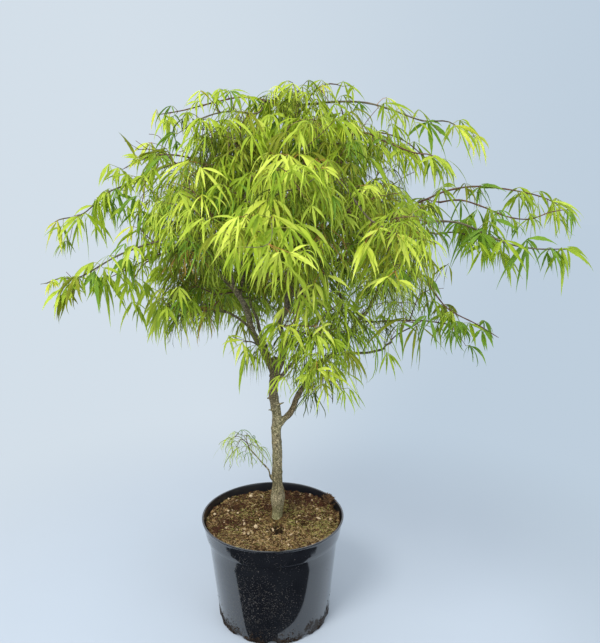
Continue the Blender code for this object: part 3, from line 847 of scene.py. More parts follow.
def make_soil():
    rings, steps = 96, 240
    r = SOIL_R * (np.arange(1, rings + 1) / rings) ** 0.85
    turn = math.tau * np.arange(steps) / steps
    x = (r[:, None] * np.cos(turn)).ravel()
    y = (r[:, None] * np.sin(turn)).ravel()
    z = soil_height(x, y) + rough_ground(x, y)
    # the bed sinks a little against the wall of the pot, and banks up round the stem
    edge = np.hypot(x, y) / SOIL_R
    z -= 0.0020 * np.clip((edge - 0.93) / 0.07, 0, 1) ** 2
    z += 0.0042 * np.exp(-((np.hypot(x - FOOT[0], y - FOOT[1]) - 0.012) / 0.011) ** 2)
    top = np.stack((x, y, z), -1)
    centre = [[0, 0, float(soil_height(np.zeros(1), np.zeros(1))[0])]]
    band = POT_HEIGHT - BAND_HEIGHT
    under = []
    for rr, zz in ((SOIL_R, 0.214), (SOIL_R, band + 0.0068), (wall_r(band) - WALL - 0.0006, band + 0.0034),
                   (wall_r(0.008) - WALL - 0.0006, 0.0095), (BASE_R - WALL - 0.0055, FLOOR_T + 0.0005)):
        under.append(np.stack((rr * np.cos(turn), rr * np.sin(turn), np.full(steps, zz)), -1))
    points = np.vstack((top, *under, centre, [[0, 0, FLOOR_T + 0.0005]]))
    n = rings + len(under)
    i = np.arange(n - 1)[:, None] * steps
    k = np.arange(steps)[None]
    j = (k + 1) % steps
    quads = np.stack((i + k, i + k + steps, i + j + steps, i + j), -1).reshape(-1, 4)
    mid, low = n * steps, n * steps + 1
    fan = np.stack((k[0], j[0], np.full(steps, mid)), -1)
    last = (n - 1) * steps
    fan2 = np.stack((last + j[0], last + k[0], np.full(steps, low)), -1)
    make_piece("compost_bed", points, [quads, fan, fan2], soil_material(), ["soil"])

    rng = np.random.default_rng(2301)

    def spots(count, least=0.0, spread=1.0):
        a = rng.uniform(0, math.tau, count)
        q = SOIL_R * 0.985 * np.sqrt(rng.uniform(0, 1, count)) * spread
        px, py = q * np.cos(a), q * np.sin(a)
        keep = np.hypot(px - FOOT[0], py - FOOT[1]) > 0.0135 + least
        for hx, hy, hr, deep in HOLLOWS:  # little lies in the deep hollows
            if deep > 0.0055:
                keep &= rng.uniform(0, 1, count) < np.clip((np.hypot(px - hx, py - hy) / hr - 0.55) / 0.45, 0.16, 1.0)
        return px[keep], py[keep]

    def clumps(px, py, scale, shift):
        """From 0 to 1: where one kind of litter lies thick."""
        return np.array([
            0.5 + 0.9 * noise.noise(Vector((a * scale, b * scale, shift)))
            + 1.3 * noise.noise(Vector((a * 4.2 * scale, b * 4.2 * scale, shift + 9.0)))
            for a, b in zip(px, py)])

    def settled(px, py):
        return soil_height(px, py) + rough_ground(px, py)

    # bark chips: flat, broken, many-cornered
    px, py = spots(2100)
    pz = settled(px, py)
    n = len(px)
    size = np.stack((rng.uniform(1.4, 4.6, n), rng.uniform(0.8, 2.2, n), rng.uniform(0.35, 0.9, n)), -1) / 1000
    size *= rng.choice((0.8, 1.0, 1.5), n, p=(0.5, 0.38, 0.12))[:, None]
    shape = np.array([(sx, sy, sz) for sz in (-1, 1) for sx, sy in ((-1, -0.7), (-0.2, -1), (1, -0.5), (0.8, 0.8), (-0.3, 1), (-0.95, 0.4))], float)
    local = shape[None] * size[:, None] * rng.uniform(0.65, 1.2, (n, 12, 3))
    yaw, tip, roll = rng.uniform(0, math.tau, n), rng.normal(0, 0.42, n), rng.normal(0, 0.42, n)
    verts = turned_about(local, yaw, tip, roll) + np.stack((px, py, pz + size[:, 2] * 0.8), -1)[:, None]
    side = [(a, (a + 1) % 6, (a + 1) % 6 + 6, a + 6) for a in range(6)]
    hexes = [(5, 4, 3, 2, 1, 0), (6, 7, 8, 9, 10, 11)]
    base = (np.arange(n) * 12)[:, None, None]
    deal = rng.uniform(0, 1, n)
    tones = (
        ("compost_chips_dark", deal < 0.55, ((0.35, (0.018, 0.010, 0.006)), (0.65, (0.105, 0.050, 0.024)))),
        ("compost_chips_brown", (deal >= 0.55) & (deal < 0.945), ((0.35, (0.15, 0.088, 0.038)), (0.65, (0.36, 0.235, 0.105)))),
        ("compost_chips_pale", deal >= 0.945, ((0.35, (0.38, 0.27, 0.15)), (0.65, (0.62, 0.50, 0.33)))),
    )
    for name, some, stops in tones:
        v = verts[some]
        b = (np.arange(len(v)) * 12)[:, None, None]
        make_piece(
            name, v.reshape(-1, 3),
            [(np.array(side)[None] + b).reshape(-1, 4), (np.array(hexes)[None] + b).reshape(-1, 6)],
            bits_material(name, stops), ["soil"], smooth=False,
        )

    # curled fibres of peat and dead moss, and the live moss strands
    def strands(name, px, py, length, radius, rise, stops, curl, pz=None):
        pz = settled(px, py) if pz is None else pz
        n = len(px)
        yaw = rng.uniform(0, math.tau, n)
        lift = rng.normal(rise, 0.45, n)
        bend = rng.normal(0, curl, n)
        L = rng.uniform(*length, n)
        steps = 4
        t = (np.arange(steps) + 0.5) / steps
        a = yaw[:, None] + bend[:, None] * t
        e = lift[:, None] - 1.5 * t * np.abs(lift)[:, None]
        d = np.stack((np.cos(e) * np.cos(a), np.cos(e) * np.sin(a), np.sin(e)), -1)
        path = np.concatenate((np.zeros((n, 1, 3)), np.cumsum(d * (L / steps)[:, None, None], 1)), 1)
        path -= path.mean(1, keepdims=True) * np.array((1, 1, 0))
        path += np.stack((px, py, pz + 0.0006), -1)[:, None]
        u = np.stack((-np.sin(yaw), np.cos(yaw), np.zeros(n)), -1)[:, None]
        w = np.cross(u, d.mean(1)[:, None])
        R = rng.uniform(*radius, n)[:, None, None] * np.array((0.7, 1.0, 1.0, 0.8, 0.25))[None, :, None]
        ring = [path + R * (math.cos(q) * u + math.sin(q) * w) for q in (0.5, 0.5 + math.tau / 3, 0.5 + 2 * math.tau / 3)]
        v = np.stack(ring, 2).reshape(n, -1, 3)
        quads = []
        for s in range(steps):
            for q in range(3):
                quads.append((3 * s + q, 3 * s + (q + 1) % 3, 3 * s + 3 + (q + 1) % 3, 3 * s + 3 + q))
        tris = [(2, 1, 0), (3 * steps, 3 * steps + 1, 3 * steps + 2)]
        b = (np.arange(n) * v.shape[1])[:, None, None]
        make_piece(
            name, v.reshape(-1, 3),
            [(np.array(quads)[None] + b).reshape(-1, 4), (np.array(tris)[None] + b).reshape(-1, 3)],
            bits_material(name, stops, 260.0), ["soil"],
        )

    def peaty(px, py):
        """From 0 to 1: where dark reddish peat lies on top."""
        m = np.zeros_like(px)
        for mx, my, mr in ((0.068, 0.094, 0.034), (0.105, 0.070, 0.028), (0.128, 0.030, 0.018), (-0.092, -0.018, 0.024),
                           (-0.112, -0.045, 0.022), (-0.018, 0.052, 0.020), (-0.084, 0.060, 0.020), (-0.052, -0.006, 0.015),
                           (0.078, -0.004, 0.014), (-0.034, 0.012, 0.014), (0.034, 0.112, 0.024)):
            m = np.maximum(m, np.exp(-((px - mx) ** 2 + (py - my) ** 2) / mr**2))
        return m

    px, py = spots(5200)
    keep = rng.uniform(0, 1, len(px)) < (clumps(px, py, 30.0, 1.0) + 0.25 * (py < -0.04)) * (1 - 0.85 * peaty(px, py))
    px, py = px[keep], py[keep]
    strands("compost_fibres_gold", px, py, (0.0035, 0.0095), (0.00030, 0.00062), 0.12,
            ((0.35, (0.26, 0.165, 0.062)), (0.65, (0.60, 0.445, 0.205))), 1.6)
    px, py = spots(3400)
    keep = rng.uniform(0, 1, len(px)) < clumps(px, py, 26.0, 5.0) + 0.25 * (py > 0.03)
    px, py = px[keep], py[keep]
    strands("compost_fibres_brown", px, py, (0.004, 0.012), (0.00028, 0.0006), 0.1,
            ((0.35, (0.034, 0.014, 0.008)), (0.65, (0.165, 0.075, 0.036))), 1.4)
    px, py = spots(9000)
    keep = rng.uniform(0, 1, len(px)) < (0.10 + 0.85 * mossiness(px, py)) * (1 - 0.55 * peaty(px, py))
    strands("compost_moss", px[keep], py[keep], (0.0025, 0.0060), (0.00030, 0.00060), 0.75,
            ((0.35, (0.115, 0.125, 0.028)), (0.65, (0.46, 0.44, 0.125))), 1.0)

    px, py = spots(2300)
    keep = rng.uniform(0, 1, len(px)) < np.clip(clumps(px, py, 22.0, 3.0), 0, 1) * np.clip(0.36 - 9.0 * py, 0.12, 1.0) * (1 - peaty(px, py))
    strands("compost_fibres_pale", px[keep], py[keep], (0.0035, 0.0090), (0.00032, 0.00068), 0.25,
            ((0.35, (0.40, 0.27, 0.130)), (0.65, (0.76, 0.60, 0.33))), 1.5)

    # the peat, and a small bank of it against the wall and over the rim
    px, py = spots(11000)
    keep = rng.uniform(0, 1, len(px)) < 0.85 * peaty(px, py)
    strands("compost_peat", px[keep], py[keep], (0.004, 0.013), (0.00034, 0.00078), 0.35,
            ((0.35, (0.020, 0.008, 0.005)), (0.65, (0.135, 0.052, 0.030))), 1.2)
    m = 150
    turn = math.atan2(0.083, 0.137) + rng.normal(0, 0.060, m)
    out = SOIL_R - 0.012 + 0.0185 * np.sqrt(rng.uniform(0, 1, m))
    up = np.clip((out - SOIL_R + 0.012) / 0.0155, 0, 1)
    strands("compost_peat_bank", out * np.cos(turn), out * np.sin(turn), (0.004, 0.011), (0.0005, 0.0013), 0.45,
            ((0.35, (0.026, 0.013, 0.008)), (0.65, (0.20, 0.120, 0.062))), 1.4,
            0.2262 + 0.0150 * up - 0.0022 * rng.uniform(0, 1, m))

    # a few pale lumps and slivers lie on top
    lumps = ((-0.103, 0.091, 3.2, 0.8), (-0.054, 0.101, 4.6, 0.6), (-0.028, 0.104, 3.6, 0.7), (-0.126, 0.021, 3.8, 0.8),
             (-0.098, 0.030, 3.0, 0.9), (-0.077, 0.025, 2.8, 0.8), (-0.034, -0.040, 5.6, 0.7), (-0.047, -0.071, 2.6, 0.8),
             (-0.026, -0.086, 4.4, 0.28), (-0.005, -0.086, 4.0, 0.30), (0.034, -0.107, 3.0, 0.8), (0.121, 0.001, 3.4, 0.6),
             (0.050, -0.020, 4.2, 0.35), (-0.062, -0.005, 2.6, 0.8))
    shape = np.array([(a, b, c) for c, k in ((-1, 0.7), (0, 1.0), (1, 0.6)) for a, b in
                      [(k * math.cos(q), k * math.sin(q)) for q in np.arange(7) * math.tau / 7]] + [(0, 0, -1.15), (0, 0, 1.2)])
    m = len(lumps)
    cx, cy, half, flat = np.array(lumps).T
    # a sliver is long and thin, a lump nearly round
    size = np.stack((half, half * np.where(flat < 0.5, 0.26, 0.78), half * np.where(flat < 0.5, 0.20, 0.55)), -1) / 1000
    local = shape[None] * size[:, None] * rng.uniform(0.78, 1.18, (m, len(shape), 3))
    yaw = np.where(flat < 0.5, rng.uniform(0.9, 1.6, m), rng.uniform(0, math.tau, m))
    lift = settled(cx, cy) + size[:, 2] * 0.9 + 0.0012
    verts = turned_about(local, yaw, rng.normal(0, 0.2, m), rng.normal(0, 0.2, m)) + np.stack((cx, cy, lift), -1)[:, None]
    around = [(7 * r + q, 7 * r + (q + 1) % 7, 7 * r + 7 + (q + 1) % 7, 7 * r + 7 + q) for r in (0, 1) for q in range(7)]
    caps = [((q + 1) % 7, q, 21) for q in range(7)] + [(14 + q, 14 + (q + 1) % 7, 22) for q in range(7)]
    b = (np.arange(m) * len(shape))[:, None, None]
    make_piece(
        "compost_lumps", verts.reshape(-1, 3), [(np.array(around)[None] + b).reshape(-1, 4), (np.array(caps)[None] + b).reshape(-1, 3)],
        bits_material("compost_lumps", ((0.35, (0.40, 0.29, 0.16)), (0.65, (0.72, 0.58, 0.38))), 420.0), ["soil"],
        smooth=False)


def turned_about(local, yaw, tip, roll):
    """Each group of points turned by its own yaw, tip and roll."""
    def rot(v, angle, a, b):
        c, s = np.cos(angle)[:, None], np.sin(angle)[:, None]
        out = v.copy()
        out[..., a] = c * v[..., a] - s * v[..., b]
        out[..., b] = s * v[..., a] + c * v[..., b]
        return out
    return rot(rot(rot(local, roll, 1, 2), tip, 0, 2), yaw, 0, 1)


def make_mud():
    """Crumbs of wet compost stuck on the outside of the pot near its foot."""
    rng = np.random.default_rng(77)
    n = 5200
    a = rng.uniform(0, math.tau, n)
    aside = np.cos(a) ** 2
    front = np.clip(-np.sin(a), 0, 1)
    z = rng.exponential(1, n) * (0.0042 + 0.0105 * aside**3 * (0.45 + front) + 0.003 * front)
    lumpy = np.array([noise.noise(Vector((math.cos(t) * 5.2, math.sin(t) * 5.2, h * 42.0))) for t, h in zip(a, z)])
    arch = (a / (math.tau / NOTCHES)) % 1.0 - 0.5
    off = np.hypot(arch * math.tau / NOTCHES * BASE_R, z) > NOTCH_R + 0.003
    keep = off & (z > 0.0012) & (z < 0.075) & (rng.uniform(0, 1, n) < (0.25 + 0.35 * aside + 0.3 * front) * np.clip(0.75 + 2.6 * lumpy, 0, 1))
    a, z = a[keep], z[keep]
    n = len(a)
    size = np.stack((rng.uniform(0.7, 2.4, n), rng.uniform(0.5, 1.3, n), rng.uniform(0.25, 0.65, n)), -1) / 1000
    shape = np.array([(sx, sy, sz) for sz in (-1, 1) for sx, sy in ((-1, -0.7), (-0.2, -1), (1, -0.5), (0.8, 0.8), (-0.3, 1), (-0.95, 0.4))], float)
    local = shape[None] * size[:, None] * rng.uniform(0.65, 1.2, (n, 12, 3))
    spin = rng.uniform(0, math.tau, n)
    local = turned_about(local, spin, rng.normal(0, 0.25, n), rng.normal(0, 0.25, n))
    round_ = np.stack((-np.sin(a), np.cos(a), np.zeros(n)), -1)
    out = np.stack((np.cos(a), np.sin(a), np.zeros(n)), -1)
    verts = local[..., 0:1] * round_[:, None] + local[..., 1:2] * UP + local[..., 2:3] * out[:, None]
    verts = verts + ((wall_r(z) + 0.25 * size[:, 2])[:, None] * out + z[:, None] * UP)[:, None]
    verts[..., 2] = np.maximum(verts[..., 2], 0.0004)
    side = [(q, (q + 1) % 6, (q + 1) % 6 + 6, q + 6) for q in range(6)]
    hexes = [(5, 4, 3, 2, 1, 0), (6, 7, 8, 9, 10, 11)]
    b = (np.arange(n) * 12)[:, None, None]
    make_piece(
        "pot_mud_crumbs", verts.reshape(-1, 3),
        [(np.array(side)[None] + b).reshape(-1, 4), (np.array(hexes)[None] + b).reshape(-1, 6)],
        bits_material("pot_mud_crumbs", ((0.35, (0.006, 0.004, 0.003)), (0.55, (0.026, 0.016, 0.010)), (0.70, (0.115, 0.078, 0.048))), 300.0),
        (), smooth=False)


make_pot()
make_soil()
make_mud()


# =============================================================== trunk and boughs
GRAFT_Z, TRUNK_TOP = 0.279, 0.585
TRUNK_LINE = (
    (0.008, 0.000, 0.224), (0.008, 0.000, 0.230), (0.0100, 0.000, 0.260), (0.0112, 0.000, 0.300),
    (0.0096, 0.000, 0.345), (0.0102, 0.001, 0.390), (0.0090, 0.001, 0.430), (0.0104, 0.002, 0.462),
    (0.0040, 0.002, 0.508), (0.0072, 0.001, 0.555), (0.0080, 0.001, 0.582),
)
# Each bough: radius at the foot and at the tip, and the bends that it passes through.
BOUGHS = {
    "leader": (0.0058, 0.0026, (
        (0.006, 0.001, 0.545), (0.012, 0.000, 0.560), (0.026, 0.002, 0.602), (0.020, 0.004, 0.650),
        (0.038, 0.000, 0.700), (0.052, -0.010, 0.790), (0.054, -0.016, 0.880),
        (0.050, -0.015, 1.000))),
    "left": (0.0074, 0.0036, (
        (0.007, 0.001, 0.545), (0.004, 0.001, 0.560), (-0.020, -0.010, 0.611), (-0.037, -0.020, 0.655),
        (-0.048, -0.030, 0.700), (-0.086, -0.040, 0.752), (-0.125, -0.045, 0.815))),
    "left_low": (0.0036, 0.0018, (
        (-0.014, -0.007, 0.598), (-0.016, -0.008, 0.603), (-0.028, 0.006, 0.618), (-0.044, 0.018, 0.640),
        (-0.062, 0.025, 0.655), (-0.088, 0.028, 0.668), (-0.145, 0.024, 0.690))),
    "right": (0.0064, 0.0026, (
        (0.009, 0.001, 0.426), (0.012, 0.001, 0.437), (0.023, 0.003, 0.451), (0.043, 0.012, 0.475),
        (0.065, 0.028, 0.519), (0.098, 0.040, 0.558), (0.139, 0.050, 0.590),
        (0.160, 0.054, 0.622), (0.192, 0.058, 0.668), (0.212, 0.060, 0.712),
        (0.188, 0.070, 0.800))),
    "right_low": (0.0034, 0.0018, (
        (0.139, 0.050, 0.590), (0.142, 0.050, 0.597), (0.172, 0.040, 0.640), (0.204, 0.020, 0.650),
        (0.262, -0.012, 0.660))),
    "right_up": (0.0032, 0.0018, (
        (0.122, 0.045, 0.574), (0.126, 0.047, 0.580), (0.136, 0.058, 0.640), (0.136, 0.076, 0.700),
        (0.088, 0.104, 0.790))),
    "right_front": (0.0032, 0.0018, (
        (0.110, 0.043, 0.567), (0.118, 0.045, 0.573), (0.160, 0.030, 0.583), (0.200, -0.010, 0.598),
        (0.214, -0.060, 0.622), (0.218, -0.130, 0.655))),
    "back_left": (0.0046, 0.0022, (
        (0.0068, 0.000, 0.532), (0.007, 0.002, 0.545), (-0.008, 0.028, 0.585), (-0.026, 0.060, 0.632),
        (-0.045, 0.098, 0.680), (-0.055, 0.140, 0.715))),
    "back": (0.0046, 0.0022, (
        (0.006, 0.001, 0.520), (0.010, 0.002, 0.530), (0.026, 0.030, 0.580), (0.046, 0.064, 0.632),
        (0.066, 0.106, 0.680), (0.085, 0.165, 0.710))),
    "front": (0.0042, 0.0022, (
        (0.020, 0.004, 0.650), (0.021, 0.004, 0.660), (0.032, -0.036, 0.700), (0.040, -0.086, 0.748),
        (0.045, -0.140, 0.795), (0.045, -0.205, 0.835))),
    "front_low": (0.0042, 0.0020, (
        (0.006, 0.001, 0.524), (0.009, -0.001, 0.535), (0.030, -0.036, 0.568), (0.055, -0.086, 0.612),
        (0.074, -0.135, 0.652), (0.082, -0.200, 0.675))),
    "front_left": (0.0038, 0.0020, (
        (-0.036, -0.019, 0.650), (-0.037, -0.020, 0.655), (-0.044, -0.058, 0.698), (-0.056, -0.100, 0.745),
        (-0.074, -0.160, 0.815))),
    "front_tuft": (0.0017, 0.0008, (
        (-0.010, -0.005, 0.590), (-0.012, -0.006, 0.595), (-0.024, -0.036, 0.620), (-0.035, -0.068, 0.634),
        (-0.043, -0.092, 0.640))),
    "right_mid": (0.0038, 0.0020, (
        (0.044, -0.003, 0.738), (0.045, -0.004, 0.745), (0.086, -0.018, 0.770), (0.128, -0.030, 0.795),
        (0.195, -0.044, 0.830))),
    "front_right": (0.0038, 0.0020, (
        (0.037, 0.000, 0.694), (0.038, 0.000, 0.700), (0.066, -0.040, 0.732), (0.100, -0.082, 0.764),
        (0.155, -0.150, 0.825))),
    "back_mid": (0.0036, 0.0020, (
        (-0.049, -0.031, 0.701), (-0.052, -0.032, 0.706), (-0.052, 0.006, 0.742), (-0.058, 0.040, 0.785),
        (-0.072, 0.068, 0.830))),
    "low_shoot": (0.0022, 0.0012, (
        (0.0105, 0.000, 0.306), (0.010, 0.000, 0.312), (-0.003, -0.003, 0.324), (-0.009, -0.006, 0.345),
        (-0.019, -0.009, 0.362), (-0.032, -0.012, 0.380), (-0.050, -0.015, 0.400))),
}
# short dead spurs and buds on the trunk: (foot, tip, radius)
SPURS = (
    ((0.004, -0.004, 0.498), (-0.008, -0.010, 0.503), 0.0028),
    ((0.003, -0.003, 0.474), (-0.006, -0.008, 0.477), 0.0022),
    ((0.009, -0.002, 0.482), (0.0255, -0.006, 0.4925), 0.0024),
    ((0.010, 0.002, 0.452), (0.0235, 0.010, 0.457), 0.0020),
    ((0.008, 0.003, 0.395), (0.004, 0.0155, 0.400), 0.0022),
    ((0.009, -0.004, 0.402), (0.0085, -0.0125, 0.4045), 0.0030),
    ((-0.003, -0.003, 0.3225), (0.000, -0.006, 0.337), 0.0013),
    ((0.006, 0.004, 0.548), (0.018, 0.012, 0.556), 0.0018),
    ((-0.030, -0.016, 0.640), (-0.026, -0.010, 0.652), 0.0014),
    ((0.010, -0.003, 0.352), (0.0205, -0.0075, 0.3545), 0.0020),
)
JOINTS_Z = (0.262, 0.300, 0.337, 0.372, 0.404, 0.436, 0.452, 0.478, 0.500, 0.531, 0.560)


def trunk_r(z):
    up = np.clip((z - GRAFT_Z) / (TRUNK_TOP - GRAFT_Z), 0, 1.2)
    return (
        0.0104 - 0.0024 * up
        + 0.0046 * np.exp(-(((z - GRAFT_Z) / 0.020) ** 2))
        + 0.0024 * np.exp(-(z - SOIL_FOOT) / 0.010) * (z > 0.22)
    )


def rough_limb(line, radii, sides, wander, seed):
    """Points and faces of one limb whose section is uneven, round the radii it is given."""
    _, u, v = frames_along(line)
    run = np.concatenate(([0], np.cumsum(np.linalg.norm(np.diff(line, axis=0), axis=1))))
    turn = math.tau * np.arange(sides) / sides
    a = turn[None] + 0.6 * np.sin(run[:, None] * 14 + seed)
    uneven = (
        0.060 * np.sin(2 * a + seed + run[:, None] * 21)
        + 0.045 * np.sin(3 * a + 1.7 * seed - run[:, None] * 33)
        + 0.030 * np.sin(5 * a - seed + run[:, None] * 12)
    ) * wander
    r = radii[:, None] * (1 + uneven)
    ring = line[:, None] + r[..., None] * (
        np.cos(turn)[None, :, None] * u[:, None] + np.sin(turn)[None, :, None] * v[:, None]
    )
    n = len(line)
    points = np.vstack((ring.reshape(-1, 3), line[:1], line[-1:] + unit(line[-1] - line[-2]) * radii[-1] * 0.5))
    i = np.arange(n - 1)[:, None] * sides
    k = np.arange(sides)[None]
    j = (k + 1) % sides
    quads = np.stack((i + k, i + j, i + j + sides, i + k + sides), -1).reshape(-1, 4)
    low = np.stack((j[0], k[0], np.full(sides, n * sides)), -1)
    last = (n - 1) * sides
    top = np.stack((last + k[0], last + j[0], np.full(sides, n * sides + 1)), -1)
    return points, quads, np.vstack((low, top))


def limb_radii(line, foot, tip, seed):
    """The taper, a flared collar where it leaves its parent, and joints every few cm."""
    run = np.concatenate(([0], np.cumsum(np.linalg.norm(np.diff(line, axis=0), axis=1))))
    t = run / run[-1]
    r = foot + (tip - foot) * t**0.85
    r = r * (1 + 0.55 * np.exp(-run / (1.6 * foot)))
    rng = np.random.default_rng(seed)
    at = 0.02
    while at < run[-1]:
        r = r * (1 + 0.13 * np.exp(-(((run - at) / (0.9 * foot)) ** 2)))
        at += rng.uniform(0.022, 0.045)
    return r


def make_wood():
    """The trunk and boughs, fused into one skin, with the bark's ridges and joints."""
    points, quads, tris, base = [], [], [], 0

    def add(parts):
        nonlocal base
        p, q, t = parts
        points.append(p)
        quads.append(q + base)
        tris.append(t + base)
        base += len(p)

    line = through(TRUNK_LINE, 0.0025)
    radii = trunk_r(line[:, 2])
    for i, z in enumerate(JOINTS_Z):
        radii = radii * (1 + (0.060 + 0.03 * (i % 3)) * np.exp(-(((line[:, 2] - z) / 0.0034) ** 2)))
    add(rough_limb(line, radii, 30, 1.0, 1.0))
    curves = {}
    for i, (name, (foot, tip, bends)) in enumerate(BOUGHS.items()):
        curve = through(bends, 0.005)
        # a little unrest, as living limbs have
        run = np.arange(len(curve)) * 0.005
        unrest = 0.0016 * np.sin(run * 96 + i) * np.minimum(1, run / 0.05)
        curve = curve + np.stack((unrest, 0.8 * np.roll(unrest, 7), np.zeros_like(unrest)), -1)
        curves[name] = (curve, foot, tip)
        r = limb_radii(curve, max(foot, 0.0019), max(tip, 0.0016), i + 5)
        add(rough_limb(curve, r, 14, 1.0, i + 2.0))
    for foot, tip, r in SPURS:
        foot, tip = np.array(foot), np.array(tip)
        t = np.linspace(0, 1, 7)[:, None]
        curve = foot + (tip - foot) * t + 0.0012 * np.sin(t * math.pi) * np.array((0.3, 0.2, 1))
        add(rough_limb(curve, r * (1.25 - 0.65 * t[:, 0]), 8, 1.2, 3.0))
    wood = make_piece("bark_limbs", np.vstack(points), [np.vstack(quads), np.vstack(tris)], bark_material())
    fused = wood.modifiers.new("fuse", "REMESH")
    fused.mode = "VOXEL"
    fused.voxel_size = 0.00125
    fused.adaptivity = 0.0
    bpy.context.view_layer.update()
    mesh = bpy.data.meshes.new_from_object(
        wood.evaluated_get(bpy.context.evaluated_depsgraph_get())
    )
    wood.modifiers.clear()
    mesh.name = "bark_limbs"
    co = np.empty(len(mesh.vertices) * 3, np.float32)
    mesh.vertices.foreach_get("co", co)
    co = co.reshape(-1, 3).astype(float)
    edges = np.empty(len(mesh.edges) * 2, np.int32)
    mesh.edges.foreach_get("vertices", edges)
    edges = edges.reshape(-1, 2)
    count = np.bincount(edges.ravel(), minlength=len(co))[:, None]
    for _ in range(3):  # take the voxels' steps off
        total = np.zeros_like(co)
        for axis in range(3):
            total[:, axis] = np.bincount(edges[:, 0], co[edges[:, 1], axis], len(co)) + np.bincount(
                edges[:, 1], co[edges[:, 0], axis], len(co)
            )
        co = 0.45 * co + 0.55 * total / count
    mesh.vertices.foreach_set("co", co.astype(np.float32).ravel())
    mesh.update()
    normals = np.empty(len(co) * 3, np.float32)
    mesh.vertices.foreach_get("normal", normals)
    normals = normals.reshape(-1, 3)
    push = np.empty(len(co))
    for i, (x, y, z) in enumerate(co):
        p = Vector((x * 300, y * 300, z * 85))
        ridge = noise.noise(p)
        pits = noise.noise(Vector((x * 520, y * 520, z * 620)))
        push[i] = 0.00052 * ridge + 0.00030 * pits
    thick = np.clip((0.66 - co[:, 2]) / 0.2, 0.35, 1.0)
    co = co + normals * (push * thick)[:, None]
    mesh.vertices.foreach_set("co", co.astype(np.float32).ravel())
    mesh.shade_smooth()
    if not mesh.materials:
        mesh.materials.append(wood.data.materials[0])
    wood.data = mesh
    names = [n for n in frame["nodes"] if n == "trunk" or n.startswith("bough_")]
    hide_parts(*names)
    print("wood triangles", sum(len(p.vertices) - 2 for p in mesh.polygons))
    return curves


LIMBS = make_wood()


# =============================================================== how the crown grows
LEAFY = [n for n in frame["nodes"] if n.startswith(("mass_", "arm_"))]


def solid_of(names):
    """The CAD solids of these nodes as one BVH, to ask what lies inside them."""
    points, polys = [], []
    for name in names:
        o = frame["nodes"][name]
        base = len(points)
        points += [tuple(o.matrix_world @ v.co) for v in o.data.vertices]
        polys += [tuple(base + i for i in p.vertices) for p in o.data.polygons]
    return BVHTree.FromPolygons(points, polys)


SOLIDS = {name: solid_of([name]) for name in LEAFY}
BOXES = {name: np.array([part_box(name)[0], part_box(name)[1]]) for name in LEAFY}
CROWN = solid_of([n for n in LEAFY if n.startswith("mass_") and n != "mass_low_spray"])
AXIS = np.array((0.048, -0.030, 0.80))


def inside(name, p):
    low, high = BOXES[name]
    if (p < low).any() or (p > high).any():
        return False
    near, normal, _, _ = SOLIDS[name].find_nearest(Vector(p))
    return near is not None and (Vector(p) - near).dot(normal) < 0


def inside_any(p):
    return any(inside(name, p) for name in LEAFY)


def depth_of(p):
    """How deep in the crown a point is, looking in level from outside and from above."""
    p = Vector(p)
    way = Vector((p.x - AXIS[0], p.y - AXIS[1], 0.0))
    if way.length < 1e-4:
        way = Vector((0, -1, 0))
    way.normalize()
    deep = 9.0
    for d in (way, (way + Vector((0, 0, 1))).normalized(), Vector((0, 0, 1))):
        hit = CROWN.ray_cast(p + d * 1.2, -d, 1.2)
        deep = min(deep, 1.2 - hit[3] if hit[0] is not None else 0.0)
    return max(deep, 0.0)


THIN = {  # how much further apart the twigs stand there
    "mass_upper_right": 1.10, "mass_right": 1.22, "mass_back_right": 1.20, "mass_upper_back_right": 1.05,
    "mass_skirt_right": 2.05, "mass_skirt_front_right": 2.05, "mass_skirt_back_right": 1.75, "mass_twig_left": 1.0,
    "mass_skirt_back": 0.95, "mass_skirt_left": 0.74, "mass_skirt_back_left": 0.72, "mass_skirt_front": 0.92,
    "mass_upper_left": 0.90,
}


def targets(rng):
    """Points that the twigs grow towards, spread evenly through each mass."""
    gap0 = 0.0272
    grid, kept = {}, []

    def clear(p, gap):
        key = tuple((p // 0.04).astype(int))
        for dx in (-1, 0, 1):
            for dy in (-1, 0, 1):
                for dz in (-1, 0, 1):
                    for q, g in grid.get((key[0] + dx, key[1] + dy, key[2] + dz), ()):
                        if np.sum((p - q) ** 2) < (0.5 * (gap + g)) ** 2:
                            return False
        return True

    for name in LEAFY:
        if name in ("mass_tuft", "mass_low_spray"):
            continue
        low, high = BOXES[name]
        size = high - low
        open_air = 1.0
        open_air = THIN.get(name, 1.0)
        if name.startswith("arm_"):
            open_air = {"arm_top_left": 1.00, "arm_left_upper": 1.34, "arm_left_lower": 1.38}.get(name, 2.0)
        drop = 0.034 if size[2] > 0.11 else 0.016
        if name.startswith("mass_skirt"):
            drop = 0.004
        tries = int(size.prod() / gap0**3 * 9)
        for p in low + rng.uniform(0, 1, (tries, 3)) * size:
            if not inside(name, p):
                continue
            lower = p - UP * drop * rng.uniform(0.7, 1.3)
            if not inside_any(lower):
                continue
            clump = noise.noise(Vector(p) * 16.0)
            gap = gap0 * open_air * (1.0 - 0.42 * clump)
            if name.startswith("mass_") and size[2] > 0.11:
                gap *= 1.0 + 0.45 * min(1.0, max(0.0, depth_of(p) - 0.045) / 0.07)
            if clear(p, gap):
                grid.setdefault(tuple((p // 0.04).astype(int)), []).append((p, gap))
                kept.append((name, p))
    return kept


